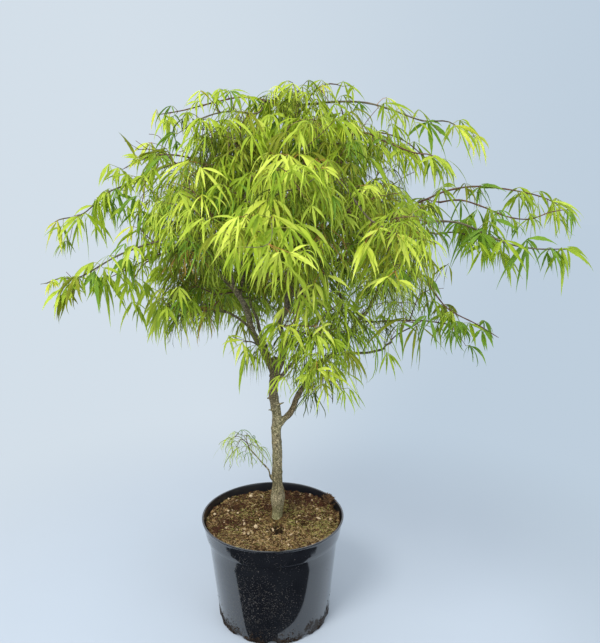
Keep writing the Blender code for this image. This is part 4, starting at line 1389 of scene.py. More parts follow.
class Growth:
    """A tree of points: every one knows its parent, its heading and its way from the root."""

    def __init__(self):
        self.at, self.way, self.parent, self.run, self.kind = [], [], [], [], []

    def add(self, at, way, parent, kind):
        self.at.append(np.asarray(at, float))
        self.way.append(unit(way))
        self.parent.append(parent)
        self.run.append(
            0.0 if parent < 0 else self.run[parent] + float(np.linalg.norm(self.at[-1] - self.at[parent]))
        )
        self.kind.append(kind)
        return len(self.at) - 1

    def follow(self, line, parent, kind, start=0):
        """Add the points of a line, one after another, from the parent on."""
        ahead = np.gradient(line, axis=0)
        for p, w in zip(line[start:], ahead[start:]):
            parent = self.add(p, w, parent, kind)
        return parent


def hermite(a, ta, b, tb, n):
    t = np.linspace(0, 1, n + 1)[1:, None]
    return (
        (2 * t**3 - 3 * t**2 + 1) * a
        + (t**3 - 2 * t**2 + t) * ta
        + (-2 * t**3 + 3 * t**2) * b
        + (t**3 - t**2) * tb
    )


def arch(tree, node, goal, kind, tip_way=None, lift=0.25, weep=0.35):
    """Grow a shoot from a node to a goal: up and out, then over and down."""
    a = tree.at[node]
    chord = goal - a
    far = float(np.linalg.norm(chord))
    heading = tree.way[node]
    fresh = tree.kind[node] == "twig" and not tree.busy[node]
    if fresh:
        start = unit(0.75 * heading + 0.45 * chord / far)
    else:
        start = unit(0.30 * heading + 0.80 * chord / far + lift * UP)
    out = goal - AXIS
    out[2] = 0
    out = unit(out)
    end = unit(chord / far + 0.30 * out - weep * UP) if tip_way is None else unit(tip_way)
    n = max(2, int(round(far / 0.0105)))
    line = hermite(a, start * far * 0.9, goal, end * far * 0.9, n)
    tree.busy[node] = True
    whole = np.vstack((a[None], line))
    ahead = np.gradient(whole, axis=0)[1:]
    for p, w in zip(line, ahead):
        node = tree.add(p, w, node, kind)
        tree.busy[node] = True
    tree.busy[node] = False
    return node


# Long shoots that lead out of the crown: where each runs, from inside to its tip.
SHOOTS = {
    "left_upper": ((-0.142, 0.046, 0.944), (-0.190, 0.046, 0.934), (-0.228, 0.045, 0.920), (-0.265, 0.040, 0.902),
                   (-0.300, 0.036, 0.887), (-0.346, 0.030, 0.851), (-0.390, 0.026, 0.841), (-0.413, 0.022, 0.824)),
    "left_lower": ((-0.104, -0.100, 0.822), (-0.150, -0.112, 0.824), (-0.191, -0.120, 0.817), (-0.246, -0.130, 0.798),
                   (-0.308, -0.140, 0.765), (-0.340, -0.148, 0.764), (-0.362, -0.150, 0.756)),
    "left_thin": ((-0.140, -0.076, 0.806), (-0.190, -0.080, 0.792), (-0.231, -0.084, 0.774), (-0.275, -0.086, 0.754)),
    "left_shoulder": ((-0.120, 0.030, 0.944), (-0.165, 0.026, 0.954), (-0.205, 0.024, 0.953), (-0.240, 0.022, 0.941),
                      (-0.262, 0.020, 0.930)),
    "top_left": ((0.006, -0.022, 1.040), (-0.040, -0.034, 1.046), (-0.091, -0.044, 1.036), (-0.135, -0.052, 1.025),
                 (-0.176, -0.058, 1.018)),
    "top_left_low": ((-0.010, -0.060, 1.018), (-0.060, -0.078, 1.022), (-0.104, -0.090, 1.010), (-0.140, -0.098, 0.988)),
    "top_tip_1": ((0.056, -0.010, 1.020), (0.052, -0.012, 1.050), (0.044, -0.014, 1.070)),
    "top_tip_2": ((0.062, -0.006, 1.028), (0.082, -0.010, 1.058), (0.108, -0.014, 1.068), (0.128, -0.016, 1.064)),
    "top_right": ((0.064, 0.000, 1.036), (0.122, 0.000, 1.041), (0.172, 0.000, 1.039), (0.216, -0.008, 1.027),
                  (0.267, -0.016, 1.010), (0.311, -0.022, 1.008), (0.346, -0.026, 0.984)),
    "right_high": ((0.130, -0.060, 0.985), (0.165, -0.066, 0.990), (0.198, -0.074, 0.976), (0.244, -0.084, 0.959),
                   (0.275, -0.090, 0.954), (0.304, -0.093, 0.926)),
    "right_high_back": ((0.150, 0.030, 0.985), (0.200, 0.040, 0.992), (0.246, 0.044, 0.978), (0.285, 0.046, 0.950)),
    "front_top": ((0.000, -0.160, 0.925), (-0.017, -0.205, 0.926), (0.020, -0.236, 0.932), (0.060, -0.252, 0.938),
                  (0.094, -0.262, 0.936), (0.120, -0.270, 0.920)),
    "front_right_top": ((0.100, -0.165, 0.925), (0.120, -0.205, 0.916), (0.138, -0.240, 0.893), (0.160, -0.262, 0.868),
                        (0.196, -0.280, 0.850), (0.222, -0.292, 0.826)),
    "front_mid": ((-0.030, -0.195, 0.890), (-0.012, -0.236, 0.890), (0.008, -0.268, 0.880), (0.024, -0.286, 0.870)),
    "right_upper": ((0.238, 0.026, 0.856), (0.291, 0.030, 0.878), (0.329, 0.031, 0.893), (0.383, 0.031, 0.900),
                    (0.455, 0.030, 0.892), (0.511, 0.028, 0.878), (0.553, 0.024, 0.854)),
    "right_upper_2": ((0.300, 0.010, 0.872), (0.345, 0.004, 0.878), (0.388, -0.004, 0.866), (0.430, -0.010, 0.850),
                      (0.470, -0.012, 0.846), (0.505, -0.012, 0.858), (0.530, -0.012, 0.862)),
    "right_lower": ((0.233, -0.060, 0.826), (0.282, -0.066, 0.846), (0.332, -0.074, 0.845), (0.373, -0.080, 0.828),
                    (0.418, -0.090, 0.811), (0.465, -0.093, 0.804), (0.519, -0.099, 0.803), (0.548, -0.100, 0.784)),
    "right_lower_2": ((0.290, -0.048, 0.822), (0.330, -0.040, 0.826), (0.372, -0.036, 0.814), (0.410, -0.032, 0.790)),
    "right_low": ((0.240, -0.030, 0.772), (0.282, -0.050, 0.742), (0.323, -0.059, 0.694), (0.380, -0.062, 0.664),
                  (0.420, -0.063, 0.640)),
    "right_low_2": ((0.262, -0.012, 0.660), (0.296, -0.026, 0.662), (0.332, -0.044, 0.660)),
    "tuft": ((-0.016, -0.036, 0.618), (-0.024, -0.056, 0.624)),
    "left_low": ((-0.088, 0.028, 0.668), (-0.130, 0.024, 0.672), (-0.168, 0.018, 0.676), (-0.205, 0.012, 0.682)),
    "left_mid": ((-0.120, -0.050, 0.790), (-0.170, -0.060, 0.796), (-0.215, -0.066, 0.776), (-0.240, -0.068, 0.745)),
    "back_left_out": ((-0.050, 0.160, 0.872), (-0.062, 0.200, 0.884), (-0.076, 0.232, 0.868)),
    "back_right_out": ((0.130, 0.160, 0.868), (0.146, 0.206, 0.880), (0.166, 0.240, 0.860)),
    "low": ((-0.050, -0.018, 0.409), (-0.060, -0.021, 0.423), (-0.070, -0.023, 0.427), (-0.079, -0.024, 0.422)),
    "low_right": ((-0.042, -0.018, 0.404), (-0.038, -0.019, 0.413), (-0.031, -0.020, 0.411), (-0.025, -0.021, 0.402)),
    "low_front": ((-0.054, -0.020, 0.417), (-0.061, -0.033, 0.424), (-0.067, -0.042, 0.414)),
    "low_back": ((-0.052, -0.014, 0.414), (-0.050, 0.000, 0.424), (-0.052, 0.010, 0.412)),
    "low_mid": ((-0.046, -0.012, 0.405), (-0.056, -0.006, 0.420), (-0.067, -0.004, 0.424), (-0.076, -0.003, 0.417)),
    "low_near": ((-0.044, -0.024, 0.402), (-0.048, -0.036, 0.411), (-0.050, -0.045, 0.404)),
}


# Young leaves that stand out: tint, lobe width in mm, where their lobes spring from, and
# where each lobe ends.
SPRAYS = (
    ("flush", 8, (-0.178, -0.062, 1.025), ((-0.191, -0.056, 0.993), (-0.173, -0.056, 0.988),)),
    ("bright", 9, (-0.164, -0.060, 1.017), ((-0.170, -0.062, 0.993), (-0.158, -0.076, 0.957), (-0.136, -0.076, 0.992), (-0.185, -0.069, 0.977),)),
    ("fresh", 5, (-0.101, -0.094, 1.051), ((-0.131, -0.102, 1.020), (-0.101, -0.104, 1.029), (-0.118, -0.106, 1.035), (-0.084, -0.086, 1.033),)),
    ("mid", 4, (-0.056, -0.101, 1.052), ((-0.087, -0.100, 1.038), (-0.020, -0.113, 1.044), (-0.068, -0.104, 1.039),)),
    ("bright", 7, (-0.120, -0.120, 1.019), ((-0.122, -0.115, 1.004), (-0.129, -0.112, 0.986),)),
    ("fresh", 7, (-0.115, -0.159, 0.947), ((-0.156, -0.149, 0.907), (-0.165, -0.171, 0.911), (-0.113, -0.161, 0.928), (-0.129, -0.158, 0.920),)),
    ("fresh", 7, (-0.091, -0.203, 0.938), ((-0.098, -0.219, 0.905), (-0.087, -0.204, 0.920), (-0.045, -0.224, 0.879),)),
    ("mid", 4, (-0.071, -0.176, 0.940), ((-0.013, -0.162, 0.913), (-0.056, -0.187, 0.919),)),
    ("bright", 11, (-0.124, -0.224, 0.903), ((-0.092, -0.221, 0.868), (-0.092, -0.216, 0.888),)),
    ("bright", 7, (-0.085, -0.254, 0.870), ((-0.125, -0.274, 0.830), (-0.112, -0.238, 0.805), (-0.068, -0.244, 0.826), (-0.082, -0.278, 0.825),)),
    ("bright", 5, (-0.072, -0.255, 0.871), ((-0.072, -0.252, 0.843), (-0.020, -0.280, 0.865),)),
    ("fresh", 7, (0.022, -0.331, 0.882), ((-0.014, -0.330, 0.841), (0.020, -0.332, 0.851), (0.034, -0.333, 0.841), (0.061, -0.321, 0.839), (0.072, -0.316, 0.837),)),
    ("mid", 8, (0.002, -0.346, 0.883), ((-0.005, -0.347, 0.868), (-0.018, -0.344, 0.851), (0.006, -0.348, 0.861),)),
    ("bright", 7, (0.055, -0.193, 0.992), ((0.024, -0.216, 0.956), (0.062, -0.188, 0.976), (0.056, -0.215, 0.941),)),
    ("fresh", 6, (0.092, -0.311, 0.941), ((0.094, -0.312, 0.918), (0.111, -0.311, 0.925),)),
    ("green", 8, (0.023, -0.291, 0.946), ((0.031, -0.280, 0.904), (0.016, -0.292, 0.925),)),
    ("mid", 7, (0.046, -0.319, 0.940), ((0.050, -0.309, 0.890), (0.038, -0.315, 0.913),)),
    ("bright", 6, (0.046, -0.071, 1.063), ((0.038, -0.076, 1.021), (0.015, -0.083, 1.040), (0.052, -0.070, 1.031), (0.062, -0.081, 1.045),)),
    ("flush", 5, (0.094, -0.050, 1.063), ((0.097, -0.049, 1.045), (0.110, -0.050, 1.051), (0.082, -0.055, 1.045),)),
    ("bright", 4, (-0.049, -0.168, 1.008), ((-0.067, -0.162, 0.972), (-0.030, -0.178, 0.985), (-0.009, -0.178, 0.974),)),
    ("bright", 7, (0.016, -0.374, 0.837), ((-0.010, -0.375, 0.792), (0.006, -0.370, 0.803),)),
    ("fresh", 8, (0.029, -0.372, 0.837), ((0.019, -0.353, 0.781), (0.017, -0.368, 0.826),)),
    ("fresh", 9, (0.044, -0.367, 0.836), ((0.071, -0.362, 0.846), (0.082, -0.367, 0.811), (0.051, -0.366, 0.818),)),
    ("fresh", 8, (0.095, -0.271, 0.791), ((0.100, -0.260, 0.751), (0.131, -0.281, 0.770),)),
    ("fresh", 8, (0.078, -0.288, 0.781), ((0.052, -0.294, 0.760), (0.076, -0.313, 0.738), (0.092, -0.294, 0.751),)),
    ("mid", 10, (-0.098, -0.020, 0.710), ((-0.097, -0.019, 0.624), (-0.113, -0.017, 0.709), (-0.075, -0.014, 0.710),)),
    ("bright", 7, (-0.188, -0.052, 0.698), ((-0.166, -0.063, 0.658), (-0.213, -0.029, 0.620),)),
    ("mid", 8, (-0.157, -0.064, 0.733), ((-0.156, -0.079, 0.692), (-0.148, -0.056, 0.690),)),
    ("fresh", 12, (-0.045, -0.095, 0.641), ((-0.083, -0.098, 0.635), (-0.071, -0.100, 0.618), (-0.059, -0.105, 0.598), (-0.035, -0.100, 0.609),)),
    ("mid", 10, (-0.038, -0.095, 0.630), ((-0.053, -0.110, 0.545),)),
    ("olive", 2, (-0.024, -0.060, 0.621), ((-0.035, -0.062, 0.546), (-0.029, -0.070, 0.563), (-0.023, -0.060, 0.542), (-0.017, -0.055, 0.556), (-0.037, -0.075, 0.578),)),
    ("mid", 3, (-0.016, -0.050, 0.622), ((-0.021, -0.056, 0.566), (-0.012, -0.060, 0.560), (-0.004, -0.058, 0.566), (-0.030, -0.052, 0.585),)),
    ("olive", 3, (0.000, -0.055, 0.632), ((-0.006, -0.060, 0.572), (0.003, -0.062, 0.563), (0.012, -0.060, 0.576), (0.019, -0.062, 0.592), (-0.010, -0.056, 0.580),)),
    ("bright", 6, (-0.004, -0.060, 0.640), ((-0.016, -0.066, 0.600), (-0.020, -0.070, 0.612), (0.008, -0.068, 0.604),)),
    ("fresh", 7, (0.023, -0.235, 0.705), ((0.001, -0.251, 0.675), (0.026, -0.236, 0.695),)),
    ("fresh", 9, (0.041, -0.272, 0.714), ((0.057, -0.277, 0.715), (0.066, -0.277, 0.668), (0.035, -0.273, 0.693),)),
    ("fresh", 8, (0.091, -0.278, 0.714), ((0.111, -0.295, 0.683), (0.089, -0.275, 0.696), (0.106, -0.283, 0.719),)),
    ("bright", 10, (0.084, -0.285, 0.702), ((0.093, -0.290, 0.662),)),
    ("mid", 9, (0.107, -0.279, 0.695), ((0.130, -0.294, 0.678), (0.119, -0.295, 0.670),)),
    ("fresh", 8, (0.084, -0.287, 0.649), ((0.109, -0.296, 0.650), (0.098, -0.291, 0.637), (0.140, -0.270, 0.611),)),
    ("bright", 7, (0.067, -0.283, 0.640), ((0.047, -0.278, 0.626), (0.054, -0.286, 0.621), (0.075, -0.286, 0.624),)),
    ("fresh", 7, (0.180, -0.332, 0.799), ((0.145, -0.321, 0.775), (0.196, -0.326, 0.778), (0.158, -0.329, 0.780),)),
    ("fresh", 6, (0.194, -0.335, 0.793), ((0.224, -0.333, 0.769), (0.209, -0.331, 0.770),)),
    ("fresh", 8, (0.149, -0.304, 0.841), ((0.130, -0.318, 0.785), (0.159, -0.307, 0.815),)),
    ("fresh", 11, (0.197, -0.342, 0.853), ((0.206, -0.352, 0.810), (0.228, -0.337, 0.818),)),
    ("green", 8, (0.257, -0.222, 0.717), ((0.248, -0.203, 0.630), (0.274, -0.234, 0.665), (0.247, -0.228, 0.688),)),
    ("green", 7, (0.213, -0.228, 0.708), ((0.209, -0.235, 0.666), (0.221, -0.225, 0.644),)),
    ("mid", 6, (0.198, -0.228, 0.659), ((0.197, -0.223, 0.618), (0.226, -0.216, 0.618), (0.211, -0.238, 0.613),)),
    ("mid", 7, (0.196, -0.053, 1.036), ((0.185, -0.051, 1.007), (0.215, -0.062, 1.002), (0.258, -0.042, 1.010), (0.191, -0.068, 0.990),)),
    ("green", 8, (0.274, -0.021, 1.008), ((0.242, -0.012, 0.980), (0.260, -0.024, 0.975), (0.300, -0.019, 1.001), (0.311, -0.026, 0.941),)),
    ("bright", 7, (0.312, -0.026, 1.005), ((0.303, -0.032, 0.985), (0.309, -0.028, 0.993),)),
    ("flush", 7, (0.319, -0.027, 1.003), ((0.314, -0.040, 0.975), (0.352, -0.059, 0.950),)),
    ("bright", 8, (0.276, -0.094, 0.953), ((0.295, -0.096, 0.938), (0.248, -0.098, 0.938), (0.282, -0.089, 0.923), (0.307, -0.125, 0.904),)),
    ("bright", 7, (0.146, -0.234, 0.910), ((0.131, -0.235, 0.896), (0.152, -0.239, 0.863),)),
    ("fresh", 6, (0.159, -0.215, 0.914), ((0.175, -0.216, 0.882), (0.156, -0.213, 0.893),)),
    ("fresh", 7, (0.165, -0.313, 0.862), ((0.132, -0.306, 0.788), (0.178, -0.309, 0.828), (0.186, -0.311, 0.855), (0.140, -0.317, 0.843),)),
    ("fresh", 10, (0.189, -0.339, 0.856), ((0.210, -0.328, 0.805), (0.222, -0.342, 0.835), (0.174, -0.341, 0.833), (0.226, -0.355, 0.803),)),
    ("green", 6, (0.380, 0.027, 0.896), ((0.360, 0.018, 0.874), (0.391, 0.035, 0.859), (0.406, 0.006, 0.850), (0.437, 0.031, 0.890),)),
    ("mid", 6, (0.459, 0.026, 0.885), ((0.421, 0.011, 0.849), (0.432, 0.010, 0.858), (0.457, 0.012, 0.846), (0.498, 0.028, 0.859),)),
    ("bright", 7, (0.521, 0.023, 0.874), ((0.530, 0.018, 0.815), (0.559, 0.019, 0.800), (0.575, 0.014, 0.838), (0.505, 0.009, 0.825),)),
    ("green", 8, (0.370, -0.083, 0.837), ((0.316, -0.092, 0.768), (0.338, -0.066, 0.778), (0.371, -0.109, 0.765), (0.384, -0.078, 0.780),)),
    ("green", 8, (0.443, -0.096, 0.820), ((0.390, -0.124, 0.738), (0.441, -0.126, 0.736), (0.409, -0.113, 0.755), (0.488, -0.119, 0.813), (0.473, -0.085, 0.789),)),
    ("mid", 8, (0.501, -0.101, 0.807), ((0.471, -0.114, 0.753), (0.499, -0.132, 0.729), (0.512, -0.125, 0.768), (0.539, -0.127, 0.781),)),
    ("bright", 6, (0.331, -0.064, 0.689), ((0.309, -0.072, 0.672), (0.339, -0.071, 0.647), (0.323, -0.064, 0.655),)),
    ("mid", 6, (0.363, -0.065, 0.668), ((0.355, -0.052, 0.623), (0.382, -0.053, 0.616), (0.396, -0.078, 0.649),)),
    ("flush", 8, (-0.392, 0.021, 0.839), ((-0.419, 0.021, 0.814), (-0.426, 0.038, 0.776), (-0.383, 0.008, 0.809),)),
    ("mid", 8, (-0.381, 0.023, 0.832), ((-0.378, 0.034, 0.774), (-0.378, 0.018, 0.805),)),
    ("mid", 8, (-0.340, 0.027, 0.852), ((-0.380, 0.039, 0.766), (-0.335, 0.005, 0.764), (-0.377, 0.027, 0.824), (-0.289, 0.020, 0.797), (-0.295, -0.004, 0.791),)),
    ("green", 6, (-0.320, 0.029, 0.875), ((-0.331, 0.036, 0.824), (-0.328, 0.044, 0.787),)),
    ("mid", 8, (-0.297, 0.031, 0.877), ((-0.320, 0.027, 0.845), (-0.285, 0.020, 0.816), (-0.311, 0.043, 0.836),)),
    ("green", 6, (-0.282, 0.034, 0.888), ((-0.267, 0.026, 0.848), (-0.267, 0.047, 0.830),)),
    ("bright", 7, (-0.284, 0.015, 0.939), ((-0.305, 0.008, 0.900), (-0.279, 0.010, 0.916),)),
    ("mid", 6, (-0.261, 0.037, 0.921), ((-0.304, 0.027, 0.906), (-0.267, 0.022, 0.891),)),
    ("flush", 9, (-0.233, -0.067, 0.839), ((-0.242, -0.076, 0.807), (-0.267, -0.082, 0.808),)),
    ("flush", 6, (-0.354, -0.153, 0.760), ((-0.362, -0.166, 0.737), (-0.361, -0.155, 0.734), (-0.346, -0.155, 0.746),)),
    ("bright", 7, (-0.338, -0.151, 0.748), ((-0.366, -0.177, 0.715), (-0.349, -0.173, 0.698),)),
    ("bright", 7, (-0.329, -0.149, 0.754), ((-0.355, -0.137, 0.712), (-0.322, -0.164, 0.719), (-0.306, -0.154, 0.739),)),
    ("mid", 6, (-0.320, -0.147, 0.765), ((-0.304, -0.136, 0.728),)),
    ("green", 8, (-0.283, -0.140, 0.772), ((-0.275, -0.169, 0.708), (-0.303, -0.146, 0.746), (-0.298, -0.134, 0.733),)),
    ("mid", 8, (-0.283, -0.090, 0.761), ((-0.294, -0.110, 0.728), (-0.268, -0.133, 0.675), (-0.254, -0.072, 0.699),)),
    ("green", 9, (-0.230, -0.131, 0.798), ((-0.243, -0.129, 0.770), (-0.226, -0.145, 0.754), (-0.219, -0.139, 0.731),)),
    ("bright", 7, (-0.244, -0.068, 0.707), ((-0.266, -0.088, 0.652), (-0.223, -0.054, 0.648), (-0.230, -0.058, 0.673), (-0.252, -0.080, 0.684),)),
    ("bright", 8, (-0.207, -0.037, 0.699), ((-0.210, -0.042, 0.622), (-0.166, -0.058, 0.656),)),
    ("mid", 6, (-0.197, -0.125, 0.826), ((-0.205, -0.131, 0.794), (-0.186, -0.121, 0.796),)),
    ("green", 3, (-0.231, -0.130, 0.817), ((-0.266, -0.127, 0.787), (-0.253, -0.146, 0.784),)),
    ("flush", 6, (-0.231, 0.018, 0.949), ((-0.254, 0.011, 0.929), (-0.240, 0.015, 0.932), (-0.261, 0.012, 0.951),)),
    ("bright", 7, (-0.206, 0.008, 0.926), ((-0.243, 0.012, 0.871), (-0.213, 0.015, 0.880),)),
    ("bright", 5, (-0.034, -0.182, 0.964), ((-0.049, -0.190, 0.935), (-0.030, -0.187, 0.926),)),
    ("mid", 6, (0.114, -0.059, 1.033), ((0.101, -0.072, 1.005), (0.125, -0.065, 1.000), (0.140, -0.050, 1.018),)),
    ("bright", 6, (0.144, -0.020, 1.064), ((0.135, -0.022, 1.041), (0.162, -0.021, 1.047), (0.147, -0.020, 1.030),)),
    ("bright", 6, (0.073, -0.318, 0.894), ((0.057, -0.310, 0.862), (0.078, -0.320, 0.857), (0.093, -0.317, 0.871),)),
    ("mid", 7, (-0.028, -0.365, 0.843), ((-0.041, -0.372, 0.808), (-0.026, -0.364, 0.796),)),
    ("bright", 6, (0.125, -0.221, 0.872), ((0.107, -0.226, 0.839), (0.129, -0.212, 0.829), (0.141, -0.235, 0.844),)),
    ("mid", 6, (0.057, -0.279, 0.762), ((0.042, -0.282, 0.728), (0.060, -0.291, 0.724),)),
    ("bright", 6, (-0.211, -0.091, 0.885), ((-0.228, -0.099, 0.851), (-0.214, -0.083, 0.840), (-0.195, -0.096, 0.861),)),
    ("mid", 6, (0.126, -0.250, 0.749), ((0.111, -0.245, 0.713), (0.127, -0.272, 0.711), (0.146, -0.239, 0.718),)),
    ("olive", 9, (-0.224, -0.030, 0.950), ((-0.252, -0.030, 0.992), (-0.198, -0.026, 0.958), (-0.171, -0.020, 0.958), (-0.214, -0.036, 0.935),)),
    ("bright", 8, (-0.211, -0.055, 0.923), ((-0.227, -0.055, 0.886), (-0.192, -0.065, 0.887), (-0.236, -0.045, 0.906),)),
    ("mid", 8, (-0.190, -0.060, 0.936), ((-0.196, -0.060, 0.896), (-0.175, -0.070, 0.904), (-0.208, -0.060, 0.908),)),
    ("bright", 8, (-0.151, -0.110, 0.741), ((-0.149, -0.110, 0.692), (-0.135, -0.120, 0.706), (-0.172, -0.110, 0.716),)),
    ("bright", 8, (-0.177, -0.095, 0.706), ((-0.159, -0.095, 0.666), (-0.195, -0.095, 0.677), (-0.176, -0.105, 0.674),)),
    ("mid", 7, (-0.195, -0.070, 0.706), ((-0.205, -0.070, 0.631), (-0.213, -0.060, 0.658), (-0.185, -0.080, 0.663),)),
    ("mid", 7, (-0.230, -0.080, 0.701), ((-0.237, -0.080, 0.652), (-0.217, -0.080, 0.649), (-0.246, -0.070, 0.671),)),
    ("bright", 7, (-0.112, -0.060, 0.683), ((-0.121, -0.060, 0.640), (-0.106, -0.060, 0.643), (-0.130, -0.060, 0.654),)),
    ("mid", 7, (-0.238, -0.100, 0.792), ((-0.249, -0.100, 0.756), (-0.242, -0.100, 0.747), (-0.225, -0.110, 0.764),)),
    ("green", 6, (-0.290, 0.020, 0.881), ((-0.285, 0.020, 0.818), (-0.301, 0.030, 0.843), (-0.267, 0.010, 0.834),)),
    ("mid", 6, (-0.257, 0.010, 0.868), ((-0.276, 0.010, 0.810), (-0.256, 0.010, 0.819), (-0.240, 0.000, 0.835),)),
    ("mid", 6, (-0.207, -0.100, 0.814), ((-0.213, -0.100, 0.772), (-0.201, -0.100, 0.765), (-0.220, -0.100, 0.785),)),
    ("mid", 5, (0.509, -0.105, 0.807), ((0.558, -0.110, 0.767), (0.542, -0.105, 0.792), (0.515, -0.115, 0.766),)),
    ("bright", 6, (0.518, 0.020, 0.875), ((0.576, 0.020, 0.837), (0.557, 0.010, 0.804), (0.527, 0.010, 0.814),)),
    ("mid", 6, (-0.315, 0.024, 0.881), ((-0.324, 0.024, 0.843), (-0.327, 0.034, 0.797), (-0.303, 0.014, 0.789), (-0.309, 0.014, 0.810),)),
    ("mid", 6, (-0.296, 0.010, 0.892), ((-0.314, 0.010, 0.855), (-0.288, 0.010, 0.834), (-0.298, 0.000, 0.849),)),
    ("mid", 7, (-0.242, -0.120, 0.769), ((-0.258, -0.120, 0.726), (-0.239, -0.120, 0.718), (-0.223, -0.130, 0.732),)),
    ("bright", 7, (-0.228, -0.100, 0.752), ((-0.245, -0.100, 0.712), (-0.224, -0.100, 0.702), (-0.208, -0.110, 0.724),)),
    ("mid", 6, (-0.236, -0.120, 0.753), ((-0.254, -0.120, 0.696), (-0.225, -0.120, 0.693),)),
    ("green", 6, (0.344, -0.010, 0.879), ((0.328, -0.010, 0.843), (0.344, -0.010, 0.825), (0.363, -0.020, 0.844), (0.324, -0.010, 0.815),)),
    ("green", 7, (0.388, 0.030, 0.902), ((0.384, 0.030, 0.858), (0.389, 0.020, 0.865), (0.414, 0.040, 0.859), (0.423, 0.030, 0.892),)),
    ("mid", 7, (0.396, -0.010, 0.867), ((0.386, -0.010, 0.815), (0.408, -0.020, 0.816), (0.423, -0.010, 0.841), (0.393, -0.010, 0.782),)),
    ("mid", 6, (0.454, 0.020, 0.885), ((0.423, 0.020, 0.844), (0.442, 0.030, 0.843), (0.459, 0.010, 0.829), (0.479, 0.010, 0.845),)),
    ("bright", 5, (0.493, 0.020, 0.871), ((0.485, 0.020, 0.832), (0.501, 0.020, 0.822), (0.508, 0.010, 0.841),)),
    ("mid", 5, (-0.095, -0.050, 1.052), ((-0.112, -0.050, 1.024), (-0.095, -0.050, 1.019), (-0.079, -0.060, 1.028), (-0.120, -0.050, 1.036),)),
    ("green", 6, (-0.056, -0.060, 1.053), ((-0.073, -0.060, 1.028), (-0.056, -0.060, 1.014), (-0.041, -0.070, 1.025), (-0.035, -0.060, 1.043),)),
    ("mid", 6, (-0.029, -0.050, 1.046), ((-0.043, -0.050, 1.020), (-0.027, -0.050, 1.008), (-0.009, -0.060, 1.023), (0.002, -0.050, 1.032),)),
    ("bright", 6, (-0.072, -0.070, 1.056), ((-0.090, -0.070, 1.039), (-0.085, -0.070, 1.024), (-0.063, -0.080, 1.032),)),
    ("mid", 7, (-0.095, -0.085, 0.736), ((-0.114, -0.085, 0.702), (-0.101, -0.085, 0.685), (-0.083, -0.095, 0.708),)),
    ("bright", 6, (-0.073, -0.070, 0.646), ((-0.085, -0.070, 0.602), (-0.064, -0.070, 0.599), (-0.055, -0.080, 0.627),)),
    ("mid", 5, (0.323, -0.060, 0.686), ((0.310, -0.060, 0.635), (0.332, -0.060, 0.622), (0.345, -0.070, 0.646),)),
    ("bright", 7, (-0.352, -0.152, 0.761), ((-0.369, -0.152, 0.741), (-0.351, -0.152, 0.744), (-0.336, -0.162, 0.752),)),
    ("mid", 7, (-0.331, -0.150, 0.767), ((-0.345, -0.150, 0.760), (-0.318, -0.150, 0.760), (-0.324, -0.160, 0.745),)),
    ("mid", 6, (-0.327, -0.150, 0.752), ((-0.349, -0.150, 0.714), (-0.327, -0.150, 0.717), (-0.304, -0.160, 0.740),)),
    ("mid", 6, (-0.309, -0.146, 0.765), ((-0.301, -0.146, 0.731), (-0.318, -0.146, 0.742),)),
    ("green", 7, (-0.286, -0.140, 0.773), ((-0.307, -0.140, 0.741), (-0.288, -0.140, 0.730), (-0.279, -0.150, 0.703),)),
    ("bright", 6, (-0.227, -0.010, 0.950), ((-0.255, -0.010, 0.952), (-0.245, -0.010, 0.932), (-0.226, -0.020, 0.933),)),
    ("mid", 6, (-0.244, -0.030, 0.923), ((-0.271, -0.030, 0.914), (-0.258, -0.030, 0.892), (-0.236, -0.040, 0.883),)),
    ("mid", 6, (-0.207, -0.020, 0.937), ((-0.221, -0.020, 0.918), (-0.206, -0.020, 0.914), (-0.192, -0.030, 0.923),)),
    ("olive", 6, (-0.174, 0.000, 0.947), ((-0.185, 0.000, 0.928), (-0.172, 0.000, 0.922), (-0.161, -0.010, 0.932),)),
    ("mid", 6, (0.320, 0.000, 0.652), ((0.310, 0.000, 0.605), (0.329, 0.000, 0.596), (0.340, -0.010, 0.617),)),
    ("green", 6, (0.357, -0.010, 0.653), ((0.347, -0.010, 0.608), (0.366, -0.010, 0.598), (0.378, -0.020, 0.615),)),
    ("mid", 6, (0.288, -0.010, 0.720), ((0.281, -0.010, 0.675), (0.301, -0.010, 0.657), (0.315, -0.020, 0.686),)),
    ("green", 6, (0.306, -0.020, 0.703), ((0.298, -0.020, 0.655), (0.317, -0.020, 0.649),)),
    ("mid", 5, (0.240, -0.050, 0.946), ((0.229, -0.050, 0.908), (0.247, -0.050, 0.900), (0.260, -0.060, 0.916),)),
    ("green", 6, (0.278, -0.075, 0.950), ((0.265, -0.075, 0.910), (0.282, -0.075, 0.900), (0.291, -0.085, 0.914),)),
    ("olive", 4, (-0.040, -0.040, 0.653), ((-0.050, -0.040, 0.616), (-0.037, -0.040, 0.604), (-0.022, -0.050, 0.622),)),
    ("mid", 4, (-0.008, -0.050, 0.659), ((-0.019, -0.050, 0.619), (-0.005, -0.050, 0.611), (0.011, -0.060, 0.629),)),
    ("fresh", 12, (-0.159, -0.058, 1.017), ((-0.160, -0.058, 0.958),)),
    ("mid", 9, (-0.130, -0.056, 1.023), ((-0.132, -0.056, 0.993), (-0.141, -0.056, 1.004), (-0.117, -0.066, 1.012),)),
    ("bright", 8, (-0.121, -0.070, 1.002), ((-0.130, -0.070, 0.981), (-0.140, -0.070, 0.963), (-0.114, -0.070, 0.980), (-0.104, -0.080, 0.977),)),
    ("mid", 8, (-0.116, -0.060, 0.988), ((-0.115, -0.060, 0.947), (-0.106, -0.070, 0.968), (-0.129, -0.060, 0.958),)),
    ("bright", 6, (-0.096, -0.080, 0.983), ((-0.075, -0.080, 0.949), (-0.089, -0.080, 0.967),)),
